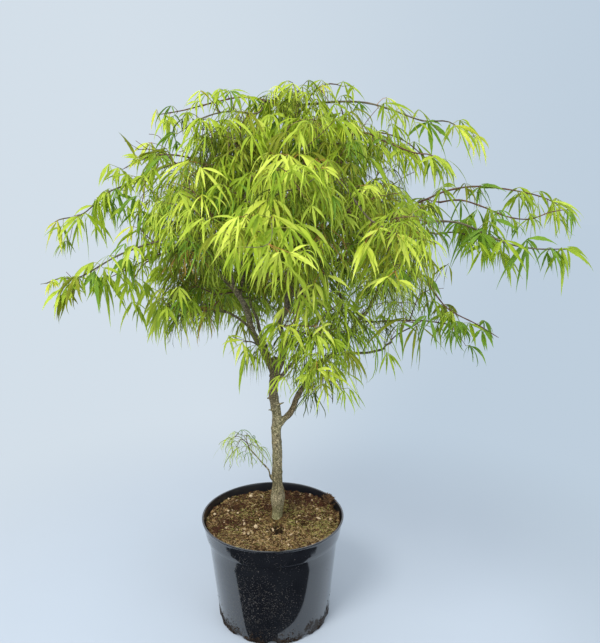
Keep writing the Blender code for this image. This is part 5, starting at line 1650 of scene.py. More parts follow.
    ("mid", 6, (-0.077, -0.070, 1.008), ((-0.078, -0.070, 0.961), (-0.090, -0.070, 0.988), (-0.053, -0.080, 0.967), (-0.036, -0.080, 0.983),)),
    ("green", 7, (-0.179, -0.040, 0.954), ((-0.199, -0.040, 0.926), (-0.218, -0.040, 0.908), (-0.169, -0.050, 0.933),)),
    ("mid", 7, (-0.195, -0.045, 0.928), ((-0.200, -0.045, 0.884), (-0.221, -0.045, 0.894), (-0.176, -0.055, 0.913),)),
    ("green", 6, (-0.155, -0.020, 0.977), ((-0.165, -0.020, 0.954), (-0.156, -0.020, 0.948), (-0.144, -0.030, 0.962),)),
    ("olive", 8, (-0.172, -0.020, 0.961), ((-0.194, -0.020, 0.957), (-0.210, -0.020, 0.952), (-0.164, -0.020, 0.944),)),
    ("green", 6, (0.369, -0.030, 0.863), ((0.328, -0.030, 0.756), (0.339, -0.030, 0.775), (0.351, -0.030, 0.771),)),
    ("mid", 6, (0.361, -0.030, 0.857), ((0.360, -0.030, 0.779), (0.374, -0.030, 0.799),)),
    ("green", 9, (0.369, -0.060, 0.834), ((0.384, -0.060, 0.757), (0.370, -0.060, 0.790),)),
    ("mid", 7, (0.390, -0.040, 0.845), ((0.394, -0.040, 0.772), (0.404, -0.050, 0.811), (0.415, -0.050, 0.795),)),
    ("mid", 6, (0.356, -0.050, 0.846), ((0.330, -0.050, 0.806), (0.342, -0.050, 0.779), (0.357, -0.050, 0.788),)),
    ("bright", 8, (0.280, -0.050, 0.874), ((0.270, -0.050, 0.846), (0.292, -0.060, 0.845), (0.286, -0.050, 0.832),)),
    ("mid", 5, (0.305, -0.030, 0.903), ((0.327, -0.030, 0.900), (0.323, -0.030, 0.874), (0.340, -0.030, 0.844), (0.289, -0.030, 0.879),)),
    ("mid", 6, (0.291, -0.020, 0.874), ((0.281, -0.020, 0.843), (0.303, -0.020, 0.829), (0.315, -0.020, 0.798),)),
    ("green", 5, (0.449, -0.020, 0.834), ((0.438, -0.020, 0.807), (0.464, -0.020, 0.815),)),
    ("mid", 6, (-0.131, -0.100, 0.717), ((-0.140, -0.100, 0.668), (-0.124, -0.100, 0.659), (-0.110, -0.110, 0.677),)),
    ("green", 6, (-0.151, -0.100, 0.719), ((-0.162, -0.100, 0.671), (-0.147, -0.100, 0.662),)),
    ("olive", 5, (-0.053, -0.050, 0.664), ((-0.063, -0.050, 0.619), (-0.042, -0.050, 0.611),)),
    ("green", 5, (0.166, -0.010, 0.662), ((0.157, -0.010, 0.617), (0.177, -0.010, 0.605), (0.188, -0.020, 0.624),)),
    ("mid", 5, (0.337, 0.000, 0.664), ((0.325, 0.000, 0.623), (0.345, 0.000, 0.612), (0.360, -0.010, 0.626),)),
    ("mid", 6, (0.293, -0.010, 0.735), ((0.289, -0.010, 0.692), (0.306, -0.010, 0.681), (0.314, -0.020, 0.703),)),
    ("mid", 6, (-0.223, -0.050, 0.740), ((-0.234, -0.050, 0.702), (-0.219, -0.050, 0.694), (-0.202, -0.060, 0.711),)),
    ("green", 5, (0.478, -0.100, 0.801), ((0.473, -0.100, 0.773), (0.489, -0.100, 0.766),)),
    ("mid", 5, (0.246, -0.080, 0.960), ((0.233, -0.080, 0.917), (0.249, -0.080, 0.908), (0.264, -0.090, 0.923), (0.221, -0.080, 0.935),)),
    ("bright", 6, (0.270, -0.090, 0.953), ((0.263, -0.090, 0.903), (0.282, -0.090, 0.901), (0.293, -0.100, 0.916),)),
    ("mid", 6, (0.222, -0.060, 0.977), ((0.210, -0.060, 0.935), (0.230, -0.060, 0.929), (0.241, -0.070, 0.944),)),
    ("green", 6, (0.347, -0.060, 0.852), ((0.332, -0.060, 0.813), (0.353, -0.060, 0.807), (0.363, -0.070, 0.824), (0.319, -0.060, 0.825),)),
    ("green", 7, (0.401, -0.020, 0.848), ((0.396, -0.020, 0.800), (0.417, -0.020, 0.794), (0.428, -0.030, 0.819),)),
    ("mid", 6, (0.436, -0.020, 0.846), ((0.430, -0.020, 0.804), (0.450, -0.020, 0.810), (0.460, -0.030, 0.825),)),
    ("mid", 5, (0.468, -0.012, 0.857), ((0.467, -0.012, 0.817), (0.491, -0.012, 0.825), (0.481, -0.022, 0.812),)),
    ("bright", 5, (-0.111, -0.055, 1.039), ((-0.128, -0.055, 1.014), (-0.114, -0.055, 1.007), (-0.100, -0.065, 1.016), (-0.133, -0.055, 1.030),)),
    ("mid", 6, (-0.081, -0.065, 1.042), ((-0.093, -0.065, 1.014), (-0.076, -0.065, 1.009), (-0.064, -0.075, 1.022),)),
    ("bright", 6, (-0.045, -0.050, 1.049), ((-0.055, -0.050, 1.017), (-0.040, -0.050, 1.013), (-0.026, -0.060, 1.028), (-0.022, -0.050, 1.039),)),
    ("green", 5, (-0.022, -0.040, 1.044), ((-0.031, -0.040, 1.017), (-0.015, -0.040, 1.015), (0.000, -0.050, 1.024),)),
    ("bright", 6, (0.095, -0.020, 1.072), ((0.078, -0.020, 1.039), (0.100, -0.020, 1.031), (0.115, -0.030, 1.043), (0.065, -0.020, 1.055),)),
    ("mid", 5, (0.129, -0.010, 1.071), ((0.116, -0.010, 1.034), (0.141, -0.010, 1.036), (0.168, -0.020, 1.039), (0.151, -0.010, 1.054),)),
    ("green", 5, (0.157, -0.005, 1.041), ((0.146, -0.005, 1.016), (0.166, -0.005, 1.012), (0.180, -0.015, 1.021),)),
    ("mid", 6, (-0.246, -0.020, 0.909), ((-0.267, -0.020, 0.882), (-0.249, -0.020, 0.875), (-0.231, -0.030, 0.891),)),
    ("green", 6, (-0.274, 0.005, 0.897), ((-0.289, 0.005, 0.867), (-0.271, 0.005, 0.859), (-0.258, -0.005, 0.878),)),
    ("olive", 3, (-0.021, -0.050, 0.612), ((-0.038, -0.050, 0.560), (-0.033, -0.050, 0.548), (-0.022, -0.050, 0.545), (-0.015, -0.060, 0.556), (-0.027, -0.050, 0.572),)),
    ("mid", 3, (-0.016, -0.040, 0.602), ((-0.027, -0.040, 0.560), (-0.013, -0.040, 0.569), (-0.009, -0.040, 0.557), (-0.019, -0.040, 0.577),)),
    ("mid", 4, (0.181, -0.060, 0.703), ((0.162, -0.060, 0.643), (0.184, -0.060, 0.630), (0.198, -0.070, 0.659), (0.145, -0.060, 0.673),)),
    ("olive", 4, (0.215, -0.050, 0.705), ((0.201, -0.050, 0.641), (0.223, -0.050, 0.632), (0.237, -0.060, 0.656), (0.187, -0.050, 0.675),)),
    ("mid", 4, (0.158, -0.030, 0.722), ((0.142, -0.030, 0.671), (0.164, -0.030, 0.658), (0.180, -0.040, 0.682),)),
)
SPRAY_NODES = []


def grow(rng):
    tree = Growth()
    tree.busy, tree.sprayed = {}, set()
    ends = {}
    root = tree.add(TRUNK_LINE[0], UP, -1, "limb")
    last = tree.follow(through(TRUNK_LINE, 0.012), root, "limb", 1)
    order = ["left", "leader", "right", "left_low", "back_left", "back", "front_low", "right_low", "right_up",
             "right_front", "front", "front_left", "front_tuft", "right_mid", "front_right", "back_mid", "low_shoot"]
    for name in order:
        curve, _, _ = LIMBS[name]
        thin = curve[2::2]
        near = min(range(len(tree.at)), key=lambda i: float(np.sum((tree.at[i] - thin[0]) ** 2)))
        ends[name] = tree.follow(thin, near, "limb")
    for i in range(len(tree.at)):
        tree.busy[i] = tree.kind[i] == "limb" and i not in ends.values()
    # how far up a limb twigs may start
    def open_node(i):
        if tree.kind[i] == "twig":
            return True
        p = tree.at[i]
        return p[2] > 0.655 or i in ends.values() or (p[2] > 0.60 and np.hypot(p[0] - 0.01, p[1]) > 0.12)

    def join(goal, way):
        best, cost = None, 9e9
        for i, p in enumerate(tree.at):
            if not open_node(i) and not (goal[2] < 0.66):
                continue
            gap = goal - p
            far = float(np.linalg.norm(gap))
            if far < 1e-6:
                continue
            c = far + 0.15 * tree.run[i] + 0.5 * far * (1 - float(gap @ tree.way[i]) / far) / 2
            c += 0.4 * far * (1 - float(gap @ way) / far) / 2
            if c < cost:
                best, cost = i, c
        return best

    shoot_of = {}
    for name, line in SHOOTS.items():
        curve = through(line, 0.0105)
        first = unit(curve[1] - curve[0])
        node = join(curve[0], first)
        if np.linalg.norm(tree.at[node] - curve[0]) > 0.012:
            node = arch(tree, node, curve[0], "twig", first, 0.35, 0.0)
        for p, w in zip(curve[1:], np.gradient(curve, axis=0)[1:]):
            node = tree.add(p, w, node, "twig")
            tree.busy[node] = True
            shoot_of[node] = name
        tree.busy[node] = False

    for tint, _, base, tips in SPRAYS:
        base = np.array(base)
        way = np.mean([np.array(t) for t in tips], axis=0) - base
        way[2] = 0.0
        way = unit(way + 1e-4)
        near = join(base, way)
        gap = base - tree.at[near]
        if np.linalg.norm(gap) > 0.034:
            near = arch(tree, near, base - 0.013 * unit(gap + 0.02 * way), "twig", unit(gap + 0.02 * way), 0.30, 0.0)
            tree.sprayed.add(near)
        SPRAY_NODES.append(near)

    # none is under the crown's lower edge, where a twig would hang bare
    goals = [
        g for g in targets(rng)
        if g[1][0] < 0.13 or not 0.5 < g[1][2] < np.interp(g[1][0], HEM_X, HEM_Z) - 0.305 * g[1][1] - 0.012
    ]
    names = [g[0] for g in goals]
    left = np.array([g[1] for g in goals])
    n = len(left)
    low = left[:, 2] < 0.50
    best = np.full(n, np.inf)
    link = np.full(n, -1)
    done = np.zeros(n, bool)
    axis_gap = np.hypot(left[:, 0] - AXIS[0], left[:, 1] - AXIS[1])

    def consider(nodes):
        at = np.array([tree.at[i] for i in nodes])
        way = np.array([tree.way[i] for i in nodes])
        run = np.array([tree.run[i] for i in nodes])
        limb = np.array([tree.kind[i] == "limb" for i in nodes])
        gap = left[:, None] - at[None]
        far = np.linalg.norm(gap, axis=2)
        lean = np.einsum("ijk,jk->ij", gap, way) / np.maximum(far, 1e-6)
        inner = np.hypot(at[:, 0] - AXIS[0], at[:, 1] - AXIS[1])
        inward = np.maximum(0, inner[None] - axis_gap[:, None])
        c = far * (1 + 0.55 * (1 - lean)) + 0.22 * run[None] + 0.9 * inward
        c += np.where(gap[:, :, 2] > 0, 0.15 * gap[:, :, 2], 0.25 * np.maximum(0, -gap[:, :, 2] - 0.5 * far))
        c += np.where(limb, 0.004, 0.0)[None]
        # the low shoot keeps its own targets
        own = (at[:, 2] < 0.47)[None] != low[:, None]
        c = np.where(own, np.inf, c)
        k = np.argmin(c, axis=1)
        value = c[np.arange(n), k]
        better = value < best
        best[better] = value[better]
        link[better] = np.asarray(nodes)[k[better]]

    consider([i for i in range(len(tree.at)) if open_node(i) or (0.36 < tree.at[i][2] < 0.47 and tree.kind[i] == "twig")
              or i == ends["low_shoot"]])
    while not done.all():
        k = int(np.argmin(np.where(done, np.inf, best)))
        if not np.isfinite(best[k]):
            break
        done[k] = True
        before = len(tree.at)
        goal = left[k]
        if np.linalg.norm(goal - tree.at[link[k]]) < 0.008:
            continue
        arch(tree, int(link[k]), goal, "twig")
        consider(list(range(before, len(tree.at))))
    print("targets", n, "nodes", len(tree.at))
    return tree, shoot_of, ends


HEM_X = (-0.30, -0.20, -0.15, -0.12, -0.11, 0.05, 0.06, 0.12, 0.15, 0.20, 0.26, 0.33, 0.34)
HEM_Z = (0.69, 0.682, 0.658, 0.638, 0.0, 0.0, 0.532, 0.545, 0.600, 0.640, 0.660, 0.660, 0.0)


rng = np.random.default_rng(1179)
TREE, SHOOT_OF, ENDS = grow(rng)
AT = np.array(TREE.at)
PARENT = np.array(TREE.parent)
TWIG = np.array([k == "twig" for k in TREE.kind])
COUNT = len(AT)
CHILDREN = [[] for _ in range(COUNT)]
for i in range(1, COUNT):
    if PARENT[i] >= 0:
        CHILDREN[PARENT[i]].append(i)

# the twigs settle: each point moves a little towards the middle of its neighbours
for _ in range(3):
    moved = AT.copy()
    for i in range(COUNT):
        if TWIG[i] and len(CHILDREN[i]) == 1 and i not in SHOOT_OF:
            moved[i] = 0.5 * AT[i] + 0.25 * (AT[PARENT[i]] + AT[CHILDREN[i][0]])
        elif TWIG[i] and len(CHILDREN[i]) > 1 and i not in SHOOT_OF:
            mid = np.mean([AT[c] for c in CHILDREN[i]], axis=0)
            moved[i] = 0.7 * AT[i] + 0.15 * (AT[PARENT[i]] + mid)
    AT = moved

# thickness by the pipe rule, and how far each point is from its furthest tip
LOAD = np.zeros(COUNT)
REACH = np.zeros(COUNT)
MAIN = np.full(COUNT, -1)
for i in range(COUNT - 1, -1, -1):
    if not CHILDREN[i]:
        LOAD[i] = 1.0
    if PARENT[i] >= 0 and TWIG[i]:
        p = PARENT[i]
        LOAD[p] += LOAD[i]
        d = REACH[i] + np.linalg.norm(AT[i] - AT[p])
        if MAIN[p] < 0 or d > REACH[p]:
            REACH[p], MAIN[p] = d, i
THICK = 0.00052 * LOAD ** (1 / 2.45)
THICK = np.minimum(THICK, 0.0024) + 0.0004 * np.clip(REACH - 0.04, 0, 0.16) / 0.16
AWAY = np.clip((np.abs(AT[:, 0] - 0.05) - 0.20) / 0.08, 0, 1)
THICK = THICK * (1 - 0.12 * AWAY)
LONG = np.array([i in SHOOT_OF and AT[i][2] > 0.5 for i in range(COUNT)])
THICK = np.where(LONG, np.minimum(np.maximum(1.15 * THICK, 0.00085 + 0.0036 * REACH), 0.0024), THICK)


def chains():
    """Every twig as a line of nodes, from where it leaves its parent to its tip."""
    out = []
    for i in range(COUNT):
        if not TWIG[i]:
            continue
        p = PARENT[i]
        if TWIG[p] and MAIN[p] == i:
            continue
        line = [p, i]
        while MAIN[line[-1]] >= 0:
            line.append(MAIN[line[-1]])
        out.append(line)
    return out


CHAINS = [
    line for line in chains()  # a lone twig far under the crown is left out
    if not (0.03 < AT[line[-1]][0] < 0.20 and 0.42 < AT[line[-1]][2] < 0.505 - 0.305 * AT[line[-1]][1] and len(line) < 60)
]
print("twigs", len(CHAINS))
YOUNG = twig_material("shoot_red", (0.060, 0.026, 0.018), (0.150, 0.074, 0.045), 0.55, (0.24, 0.16, 0.11))
OLD = twig_material("shoot_grey", (0.050, 0.040, 0.024), (0.150, 0.125, 0.080), 0.78, (0.26, 0.23, 0.16))


def make_twigs():
    young, old = [], []
    for line in CHAINS:
        pts = AT[line]
        rad = THICK[line].copy()
        rad[0] = min(rad[0], rad[1] * 1.25)
        rad[-1] = 0.00045
        if len(pts) < 3:
            pts = np.vstack((pts[0], 0.5 * (pts[0] + pts[1]), pts[1]))
            rad = np.array((rad[0], 0.5 * (rad[0] + rad[1]), rad[1]))
        # swollen where leaves sit
        knot = 1 + 0.22 * (np.arange(len(rad)) % 3 == 0)
        (old if rad[0] > 0.0023 else young).append((pts, rad * knot))
    p, f = tubes(young, 5)
    make_piece("twigs_young", p, f, YOUNG, ())
    p, f = tubes(old, 7)
    make_piece("twigs_old", p, f, OLD, ())
    print("young", len(young), "old", len(old))


make_twigs()


# =============================================================== leaves
# A leaf is a fan of very narrow lobes on a thin stalk. A lobe leaves the stalk more or
# less level, arches and hangs. Old inner leaves are threads, young outer ones are wider
# and stiffer, with a saw edge. Sprays of leaves share one plain tint.
KINDS = {
    #         segments, folded, saw edge
    "broad": (10, True, 0.10),
    "slim": (7, True, 0.05),
    "thread": (7, False, 0.0),
}
LOBE = ("azimuth", "rise", "fall", "length", "width", "curl", "twist", "power", "hook", "side", "wave", "phase", "face")


def lobes(kind, base, azimuth, rise, fall, length, width, curl, twist, power, hook, side, wave, phase, face):
    """Points and faces of many lobes at once, one row for each."""
    segs, folded, saw = KINDS[kind]
    n = len(base)
    s = np.linspace(0, 1, segs + 1)

    def heading(t):
        t = t[None]
        e = rise[:, None] + (fall - rise)[:, None] * t ** power[:, None]
        a = azimuth[:, None] + curl[:, None] * t**2
        out = np.stack((np.cos(a), np.sin(a), 0 * a), -1)
        over = np.stack((-np.sin(a), np.cos(a), 0 * a), -1)
        d = out * np.cos(e)[..., None] + UP * np.sin(e)[..., None]
        end = hook[:, None] * np.clip((t - 0.60) / 0.40, 0, 1) ** 2
        roam = wave[:, None] * np.sqrt(t)
        d = d + over * (roam * np.sin(6.283 * (1.35 * t + phase[:, None])) + end * np.sin(side)[:, None])[..., None]
        d = d + out * (roam * np.cos(6.283 * (1.15 * t + 1.7 * phase[:, None])) + end * np.cos(side)[:, None])[..., None]
        return d / np.linalg.norm(d, axis=-1, keepdims=True), over

    d, _ = heading((s[1:] + s[:-1]) / 2)
    path = np.concatenate(
        (np.zeros((n, 1, 3)), np.cumsum(d * (length / segs)[:, None, None], axis=1)), axis=1
    ) + base[:, None]
    d, over = heading(s)
    u = over - d * np.sum(over * d, -1, keepdims=True)
    u /= np.linalg.norm(u, axis=-1, keepdims=True)
    v = np.cross(d, u)
    # the blade's face turns outwards, and it twists a little along its length
    seen = np.stack((np.cos(face), np.sin(face), np.full(n, 0.30)), -1)
    h = (segs + 1) // 2
    aim = np.arctan2(-np.sum(seen * u[:, h], -1), np.sum(seen * v[:, h], -1))
    q = (aim[:, None] + twist[:, None] * (s[None] - 0.4))[..., None]
    across = u * np.cos(q) + v * np.sin(q)
    normal = -u * np.sin(q) + v * np.cos(q)
    if folded:
        peak = 0.44
        shape = np.where(s < peak, np.sin(0.5 * math.pi * (s / peak) ** 0.95), 1.0)
        shape = np.where(s > peak, np.clip(1 - (s - peak) / (1 - peak), 0, 1) ** 1.08, shape)
        shape = np.maximum(shape, np.where(s < peak, 0.15, 0.03))
        shape = shape * (1 + saw * np.where(np.arange(segs + 1) % 2 == 0, -1.0, 1.0))
    else:
        shape = 0.62 + 0.38 * np.sin(math.pi * s**0.8)
    half = 0.5 * width[:, None] * shape[None]
    body, tip = path[:, :-1], path[:, -1:]
    across, normal, half = across[:, :-1], normal[:, :-1], half[:, :-1, None]
    if folded:
        keel = -normal * half * 0.40
        rows = np.stack((body + across * half, body + keel, body - across * half), 2)
        quads, tris = [], []
        for i in range(segs - 1):
            o = 3 * i
            quads += [(o, o + 1, o + 4, o + 3), (o + 1, o + 2, o + 5, o + 4)]
        o, t = 3 * (segs - 1), 3 * segs
        tris = [(o, o + 1, t), (o + 1, o + 2, t)]
    else:
        rows = np.stack((body + across * half, body - across * half), 2)
        quads = [(2 * i, 2 * i + 1, 2 * i + 3, 2 * i + 2) for i in range(segs - 1)]
        o, t = 2 * (segs - 1), 2 * segs
        tris = [(o, o + 1, t)]
    points = np.concatenate((rows.reshape(n, -1, 3), tip), axis=1)
    b = (np.arange(n) * points.shape[1])[:, None, None]
    return (
        points.reshape(-1, 3),
        [(np.array(quads)[None] + b).reshape(-1, 4), (np.array(tris)[None] + b).reshape(-1, 3)],
        points,
    )


FANS = {
    3: ((0.0, 1.0), (0.75, 0.86), (-0.75, 0.86)),
    4: ((-0.30, 1.0), (0.38, 0.95), (1.10, 0.76), (-1.05, 0.80)),
    5: ((0.0, 1.0), (0.58, 0.95), (-0.58, 0.95), (1.25, 0.70), (-1.25, 0.70)),
    7: ((0.0, 1.0), (0.42, 0.98), (-0.42, 0.98), (0.90, 0.88), (-0.90, 0.88), (1.50, 0.60), (-1.50, 0.60)),
}


class Foliage:
    """Gathers leaves by tint and kind, then makes one piece of each."""

    def __init__(self, rng):
        self.rng, self.rows, self.stalks, self.count = rng, {}, {}, 0

    def facing(self, p):
        """Which way, seen from above, a leaf here turns its face: out of the crown, or to
        either side of a long shoot."""
        if abs(p[0] - 0.05) > 0.22 and self.rng.uniform() < 0.7:
            return self.rng.normal(-1.57 if self.rng.uniform() < 0.6 else 1.57, 0.4)
        return math.atan2(p[1] - AXIS[1], p[0] - AXIS[0])

    def stalk(self, tint, a, start, b, end, thick):
        far = max(float(np.linalg.norm(b - a)), 0.002)
        line = np.vstack((a[None], hermite(a, start * far, b, end * far, 3)))
        self.stalks.setdefault(tint, []).append((line, thick * np.array((1.25, 1.0, 0.95, 0.85))))

    def leaf(self, tint, kind, node, heading, size, width, count=5, stalk=0.022, spread=1.0, droop=0.0, rise=0.0):
        """One leaf by a node: its stalk leaves along heading, its lobes fan out and hang."""
        r = self.rng
        heading = unit(heading)
        flat = math.atan2(heading[1], heading[0]) + r.normal(0, 0.15)
        out = np.array((math.cos(flat), math.sin(flat), 0.0))
        end = node + (0.62 * heading + 0.38 * out + (0.10 + rise) * UP) * stalk
        self.stalk(tint, node, heading, end, unit(out - (0.35 + droop) * UP), 0.00040 if kind == "thread" else 0.00052)
        self.count += 1
        rows = self.rows.setdefault((tint, kind), [])
        lean, side, face = r.normal(0, 0.10), r.uniform(0, 6.28), self.facing(node) + r.normal(0, 0.35)
        for turn, share in FANS[count]:
            if count > 3 and r.uniform() < 0.07:
                continue
            wide = abs(turn) / 1.3
            if kind == "broad":
                rise0, fall0, power = -0.42 + 0.42 * wide, -1.45 + 0.36 * wide, r.uniform(0.45, 0.85)
                noise_r, noise_f, hook, wave = 0.20, 0.16, r.normal(0, 0.35), 0.05
            elif kind == "slim":
                rise0, fall0, power = -0.45 + 0.50 * wide, -1.46 + 0.22 * wide, r.uniform(0.45, 0.80)
                noise_r, noise_f, hook, wave = 0.25, 0.16, abs(r.normal(0, 0.75)), r.uniform(0.04, 0.14)
            else:
                rise0, fall0, power = -0.36 + 0.48 * wide, -1.50 + 0.20 * wide, r.uniform(0.34, 0.74)
                noise_r, noise_f, hook, wave = 0.32, 0.20, abs(r.normal(0, 0.9)), r.uniform(0.12, 0.36)
            rows.append((
                *(end + r.normal(0, 0.0006, 3)),
                flat + turn * spread * r.uniform(0.85, 1.15) + lean + r.normal(0, 0.13),
                rise0 - droop + r.normal(0, noise_r),
                fall0 + r.normal(0, noise_f),
                size * share * r.uniform(0.74, 1.14),
                width * (0.70 + 0.30 * share) * r.uniform(0.80, 1.15),
                r.normal(0, 0.35),
                r.normal(0, 0.9 if kind != "broad" else 0.5),
                power,
                hook,
                side + r.normal(0, 0.6),
                wave,
                r.uniform(),
                face + r.normal(0, 0.45),
            ))

    def spray(self, tint, width, node, way, base, tips):
        """Young leaves whose lobes end in given places."""
        r = self.rng
        self.stalk(tint, node, unit(way), base, unit(unit(base - node) - 0.2 * UP), 0.00055)
        self.count += 1
        kind = "broad" if width >= 6 else "slim"
        rows = self.rows.setdefault((tint, kind), [])
        out = 0.6 * unit((base - AXIS) * (1, 1, 0)) + np.array((0, -0.8, 0))
        face = math.atan2(out[1], out[0])
        # lobes between and behind the chosen ones
        ends = [np.array(t) - base for t in tips]
        long = max(float(np.linalg.norm(e)) for e in ends)
        broad = 0.96 if abs(base[0] - 0.05) > 0.22 else 0.72
        more = r.integers(0, 3) if len(tips) > 3 else r.integers(1, 4)
        for i in range(more):
            e = ends[r.integers(len(ends))] + r.normal(0, 0.45 * long, 3) * (1, 1, 0.5)
            e = unit(e - 0.2 * long * UP) * long * r.uniform(0.55, 0.95)
            tips = (*tips, tuple(base + e))
        for tip in tips:
            foot = base + r.normal(0, 0.0012, 3)
            chord = np.array(tip) - foot
            far = float(np.linalg.norm(chord))
            level = math.asin(chord[2] / far)
            bend = 0.10 + 0.36 * math.cos(level) * r.uniform(0.7, 1.25)
            rows.append((
                *foot,
                math.atan2(chord[1], chord[0]),
                level + bend,
                max(level - bend, -1.56),
                far * (1 + bend * bend / 6),
                min(broad * width / 1000, 0.115 * far + 0.0018) * r.uniform(0.86, 1.10),
                0.0,
                r.normal(0, 0.5),
                1.0,
                0.0,
                0.0,
                0.03,
                r.uniform(),
                face + r.normal(0, 0.45),
            ))

    def make(self, materials, stalk_materials):
        total = 0
        low, high = np.array(CAD_BOX[0]) - 0.008, np.array(CAD_BOX[1]) + 0.004
        for (tint, kind), rows in sorted(self.rows.items()):
            a = np.array(rows)

            def parts(a):
                return dict(base=a[:, 0:3], **{k: a[:, 3 + i] for i, k in enumerate(LOBE)})

            _, _, shaped = lobes(kind, **parts(a))
            fits = ((shaped > low) & (shaped < high)).all(axis=(1, 2))
            fits &= ~((shaped[:, :, 0] < -0.368) & (shaped[:, :, 1] < -0.06)).any(axis=1)
            a = a[fits]
            segs, folded, _ = KINDS[kind]
            each = 4 * (segs - 1) + 2 if folded else 2 * (segs - 1) + 1
            most = 190000 // each
            for start in range(0, len(a), most):
                p, f, _ = lobes(kind, **parts(a[start : start + most]))
                name = f"leaves_{tint}_{kind}" + (f"_{start // most + 1}" if len(a) > most else "")
                made = make_piece(name, p, f, materials[tint], ())
                if not total:
                    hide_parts(*LEAFY)
                total += each * min(most, len(a) - start)
            print("leaves", tint, kind, len(a), "lobes", len(a) * each, "tris")
        groups = {}
        for tint, limbs in self.stalks.items():
            groups.setdefault(stalk_materials[tint], []).extend(limbs)
        for i, (mat, limbs) in enumerate(sorted(groups.items(), key=lambda g: g[0].name)):
            p, f = tubes(limbs, 3)
            make_piece(f"leaf_stalks_{i + 1}", p, f, mat, ())
            print("stalks", len(limbs), "tris", len(limbs) * 20)
        print("leaf triangles", total, "leaves", self.count)


LEAF_TINTS = {
    #            dark, light, glow, share of light let through, gloss
    "fresh": ((0.45, 0.54, 0.036), (0.68, 0.76, 0.130), (0.62, 0.71, 0.075), 0.32, 0.44),
    "bright": ((0.31, 0.42, 0.020), (0.52, 0.63, 0.078), (0.48, 0.59, 0.046), 0.30, 0.44),
    "mid": ((0.18, 0.28, 0.010), (0.33, 0.44, 0.028), (0.31, 0.44, 0.020), 0.28, 0.38),
    "green": ((0.105, 0.215, 0.014), (0.21, 0.35, 0.034), (0.18, 0.34, 0.022), 0.28, 0.36),
    "olive": ((0.115, 0.140, 0.008), (0.26, 0.295, 0.022), (0.21, 0.26, 0.015), 0.22, 0.24),
    # deep is painted shade, for threads far inside the crown
    "deep": ((0.034, 0.053, 0.003), (0.082, 0.112, 0.007), (0.07, 0.11, 0.005), 0.16, 0.18),
    "rust": ((0.20, 0.115, 0.020), (0.34, 0.22, 0.040), (0.28, 0.17, 0.025), 0.22, 0.30),
    "flush": ((0.49, 0.50, 0.036), (0.64, 0.71, 0.095), (0.61, 0.66, 0.060), 0.30, 0.40),
}
LEAF_MATS = {k: leaf_material("leaf_" + k, *v[:3], share=v[3], gloss=v[4]) for k, v in LEAF_TINTS.items()}
NEAR_TINTS = {  # what else grows among the leaves of a spray
    "fresh": ("bright", "mid"), "bright": ("fresh", "mid", "mid", "olive"), "mid": ("bright", "olive", "green", "deep"),
    "green": ("mid", "deep", "olive"), "olive": ("deep", "mid", "bright", "deep"), "deep": ("olive", "mid"),
    "rust": ("olive", "olive", "deep"), "flush": ("fresh",),
}
STALK_GREEN = twig_material("stalk_green", (0.20, 0.23, 0.035), (0.38, 0.40, 0.07), 0.5)
STALK_RED = twig_material("stalk_red", (0.30, 0.11, 0.030), (0.52, 0.26, 0.055), 0.5)


def shown_off(p):
    """Whether a leaf here would hang in front of one of the young sprays."""
    for _, _, base, _ in SPRAYS:
        out = np.array((base[0] - AXIS[0], base[1] - AXIS[1], 0.0))
        out /= np.linalg.norm(out)
        gap = p - np.array(base)
        ahead = float(gap @ out)
        beside = float(np.linalg.norm(gap - ahead * out))
        if ahead > -0.016 and beside < 0.034:
            return True
    return False


AIRY = (  # open places in the crown: the middle, the half size, and the share of leaves left out
    ((0.312, -0.030, 0.768), (0.050, 0.11, 0.064), 0.80),
    ((0.180, 0.000, 0.925), (0.026, 0.12, 0.034), 0.45),
    ((0.275, -0.280, 0.830), (0.045, 0.10, 0.050), 0.85),
    ((0.275, -0.050, 0.870), (0.028, 0.06, 0.030), 0.55),
    ((0.275, 0.150, 0.680), (0.035, 0.06, 0.040), 0.50),
)


def sparse(p):
    """The share of leaves left out at a point: under the crown's lower edge and where it is open."""
    if p[2] < np.interp(p[0], HEM_X, HEM_Z) - 0.305 * p[1] and p[2] > 0.5:
        return 0.78
    for mid, half, share in AIRY:
        if (np.abs(p - np.array(mid)) < half).all():
            return share
    return 0.0


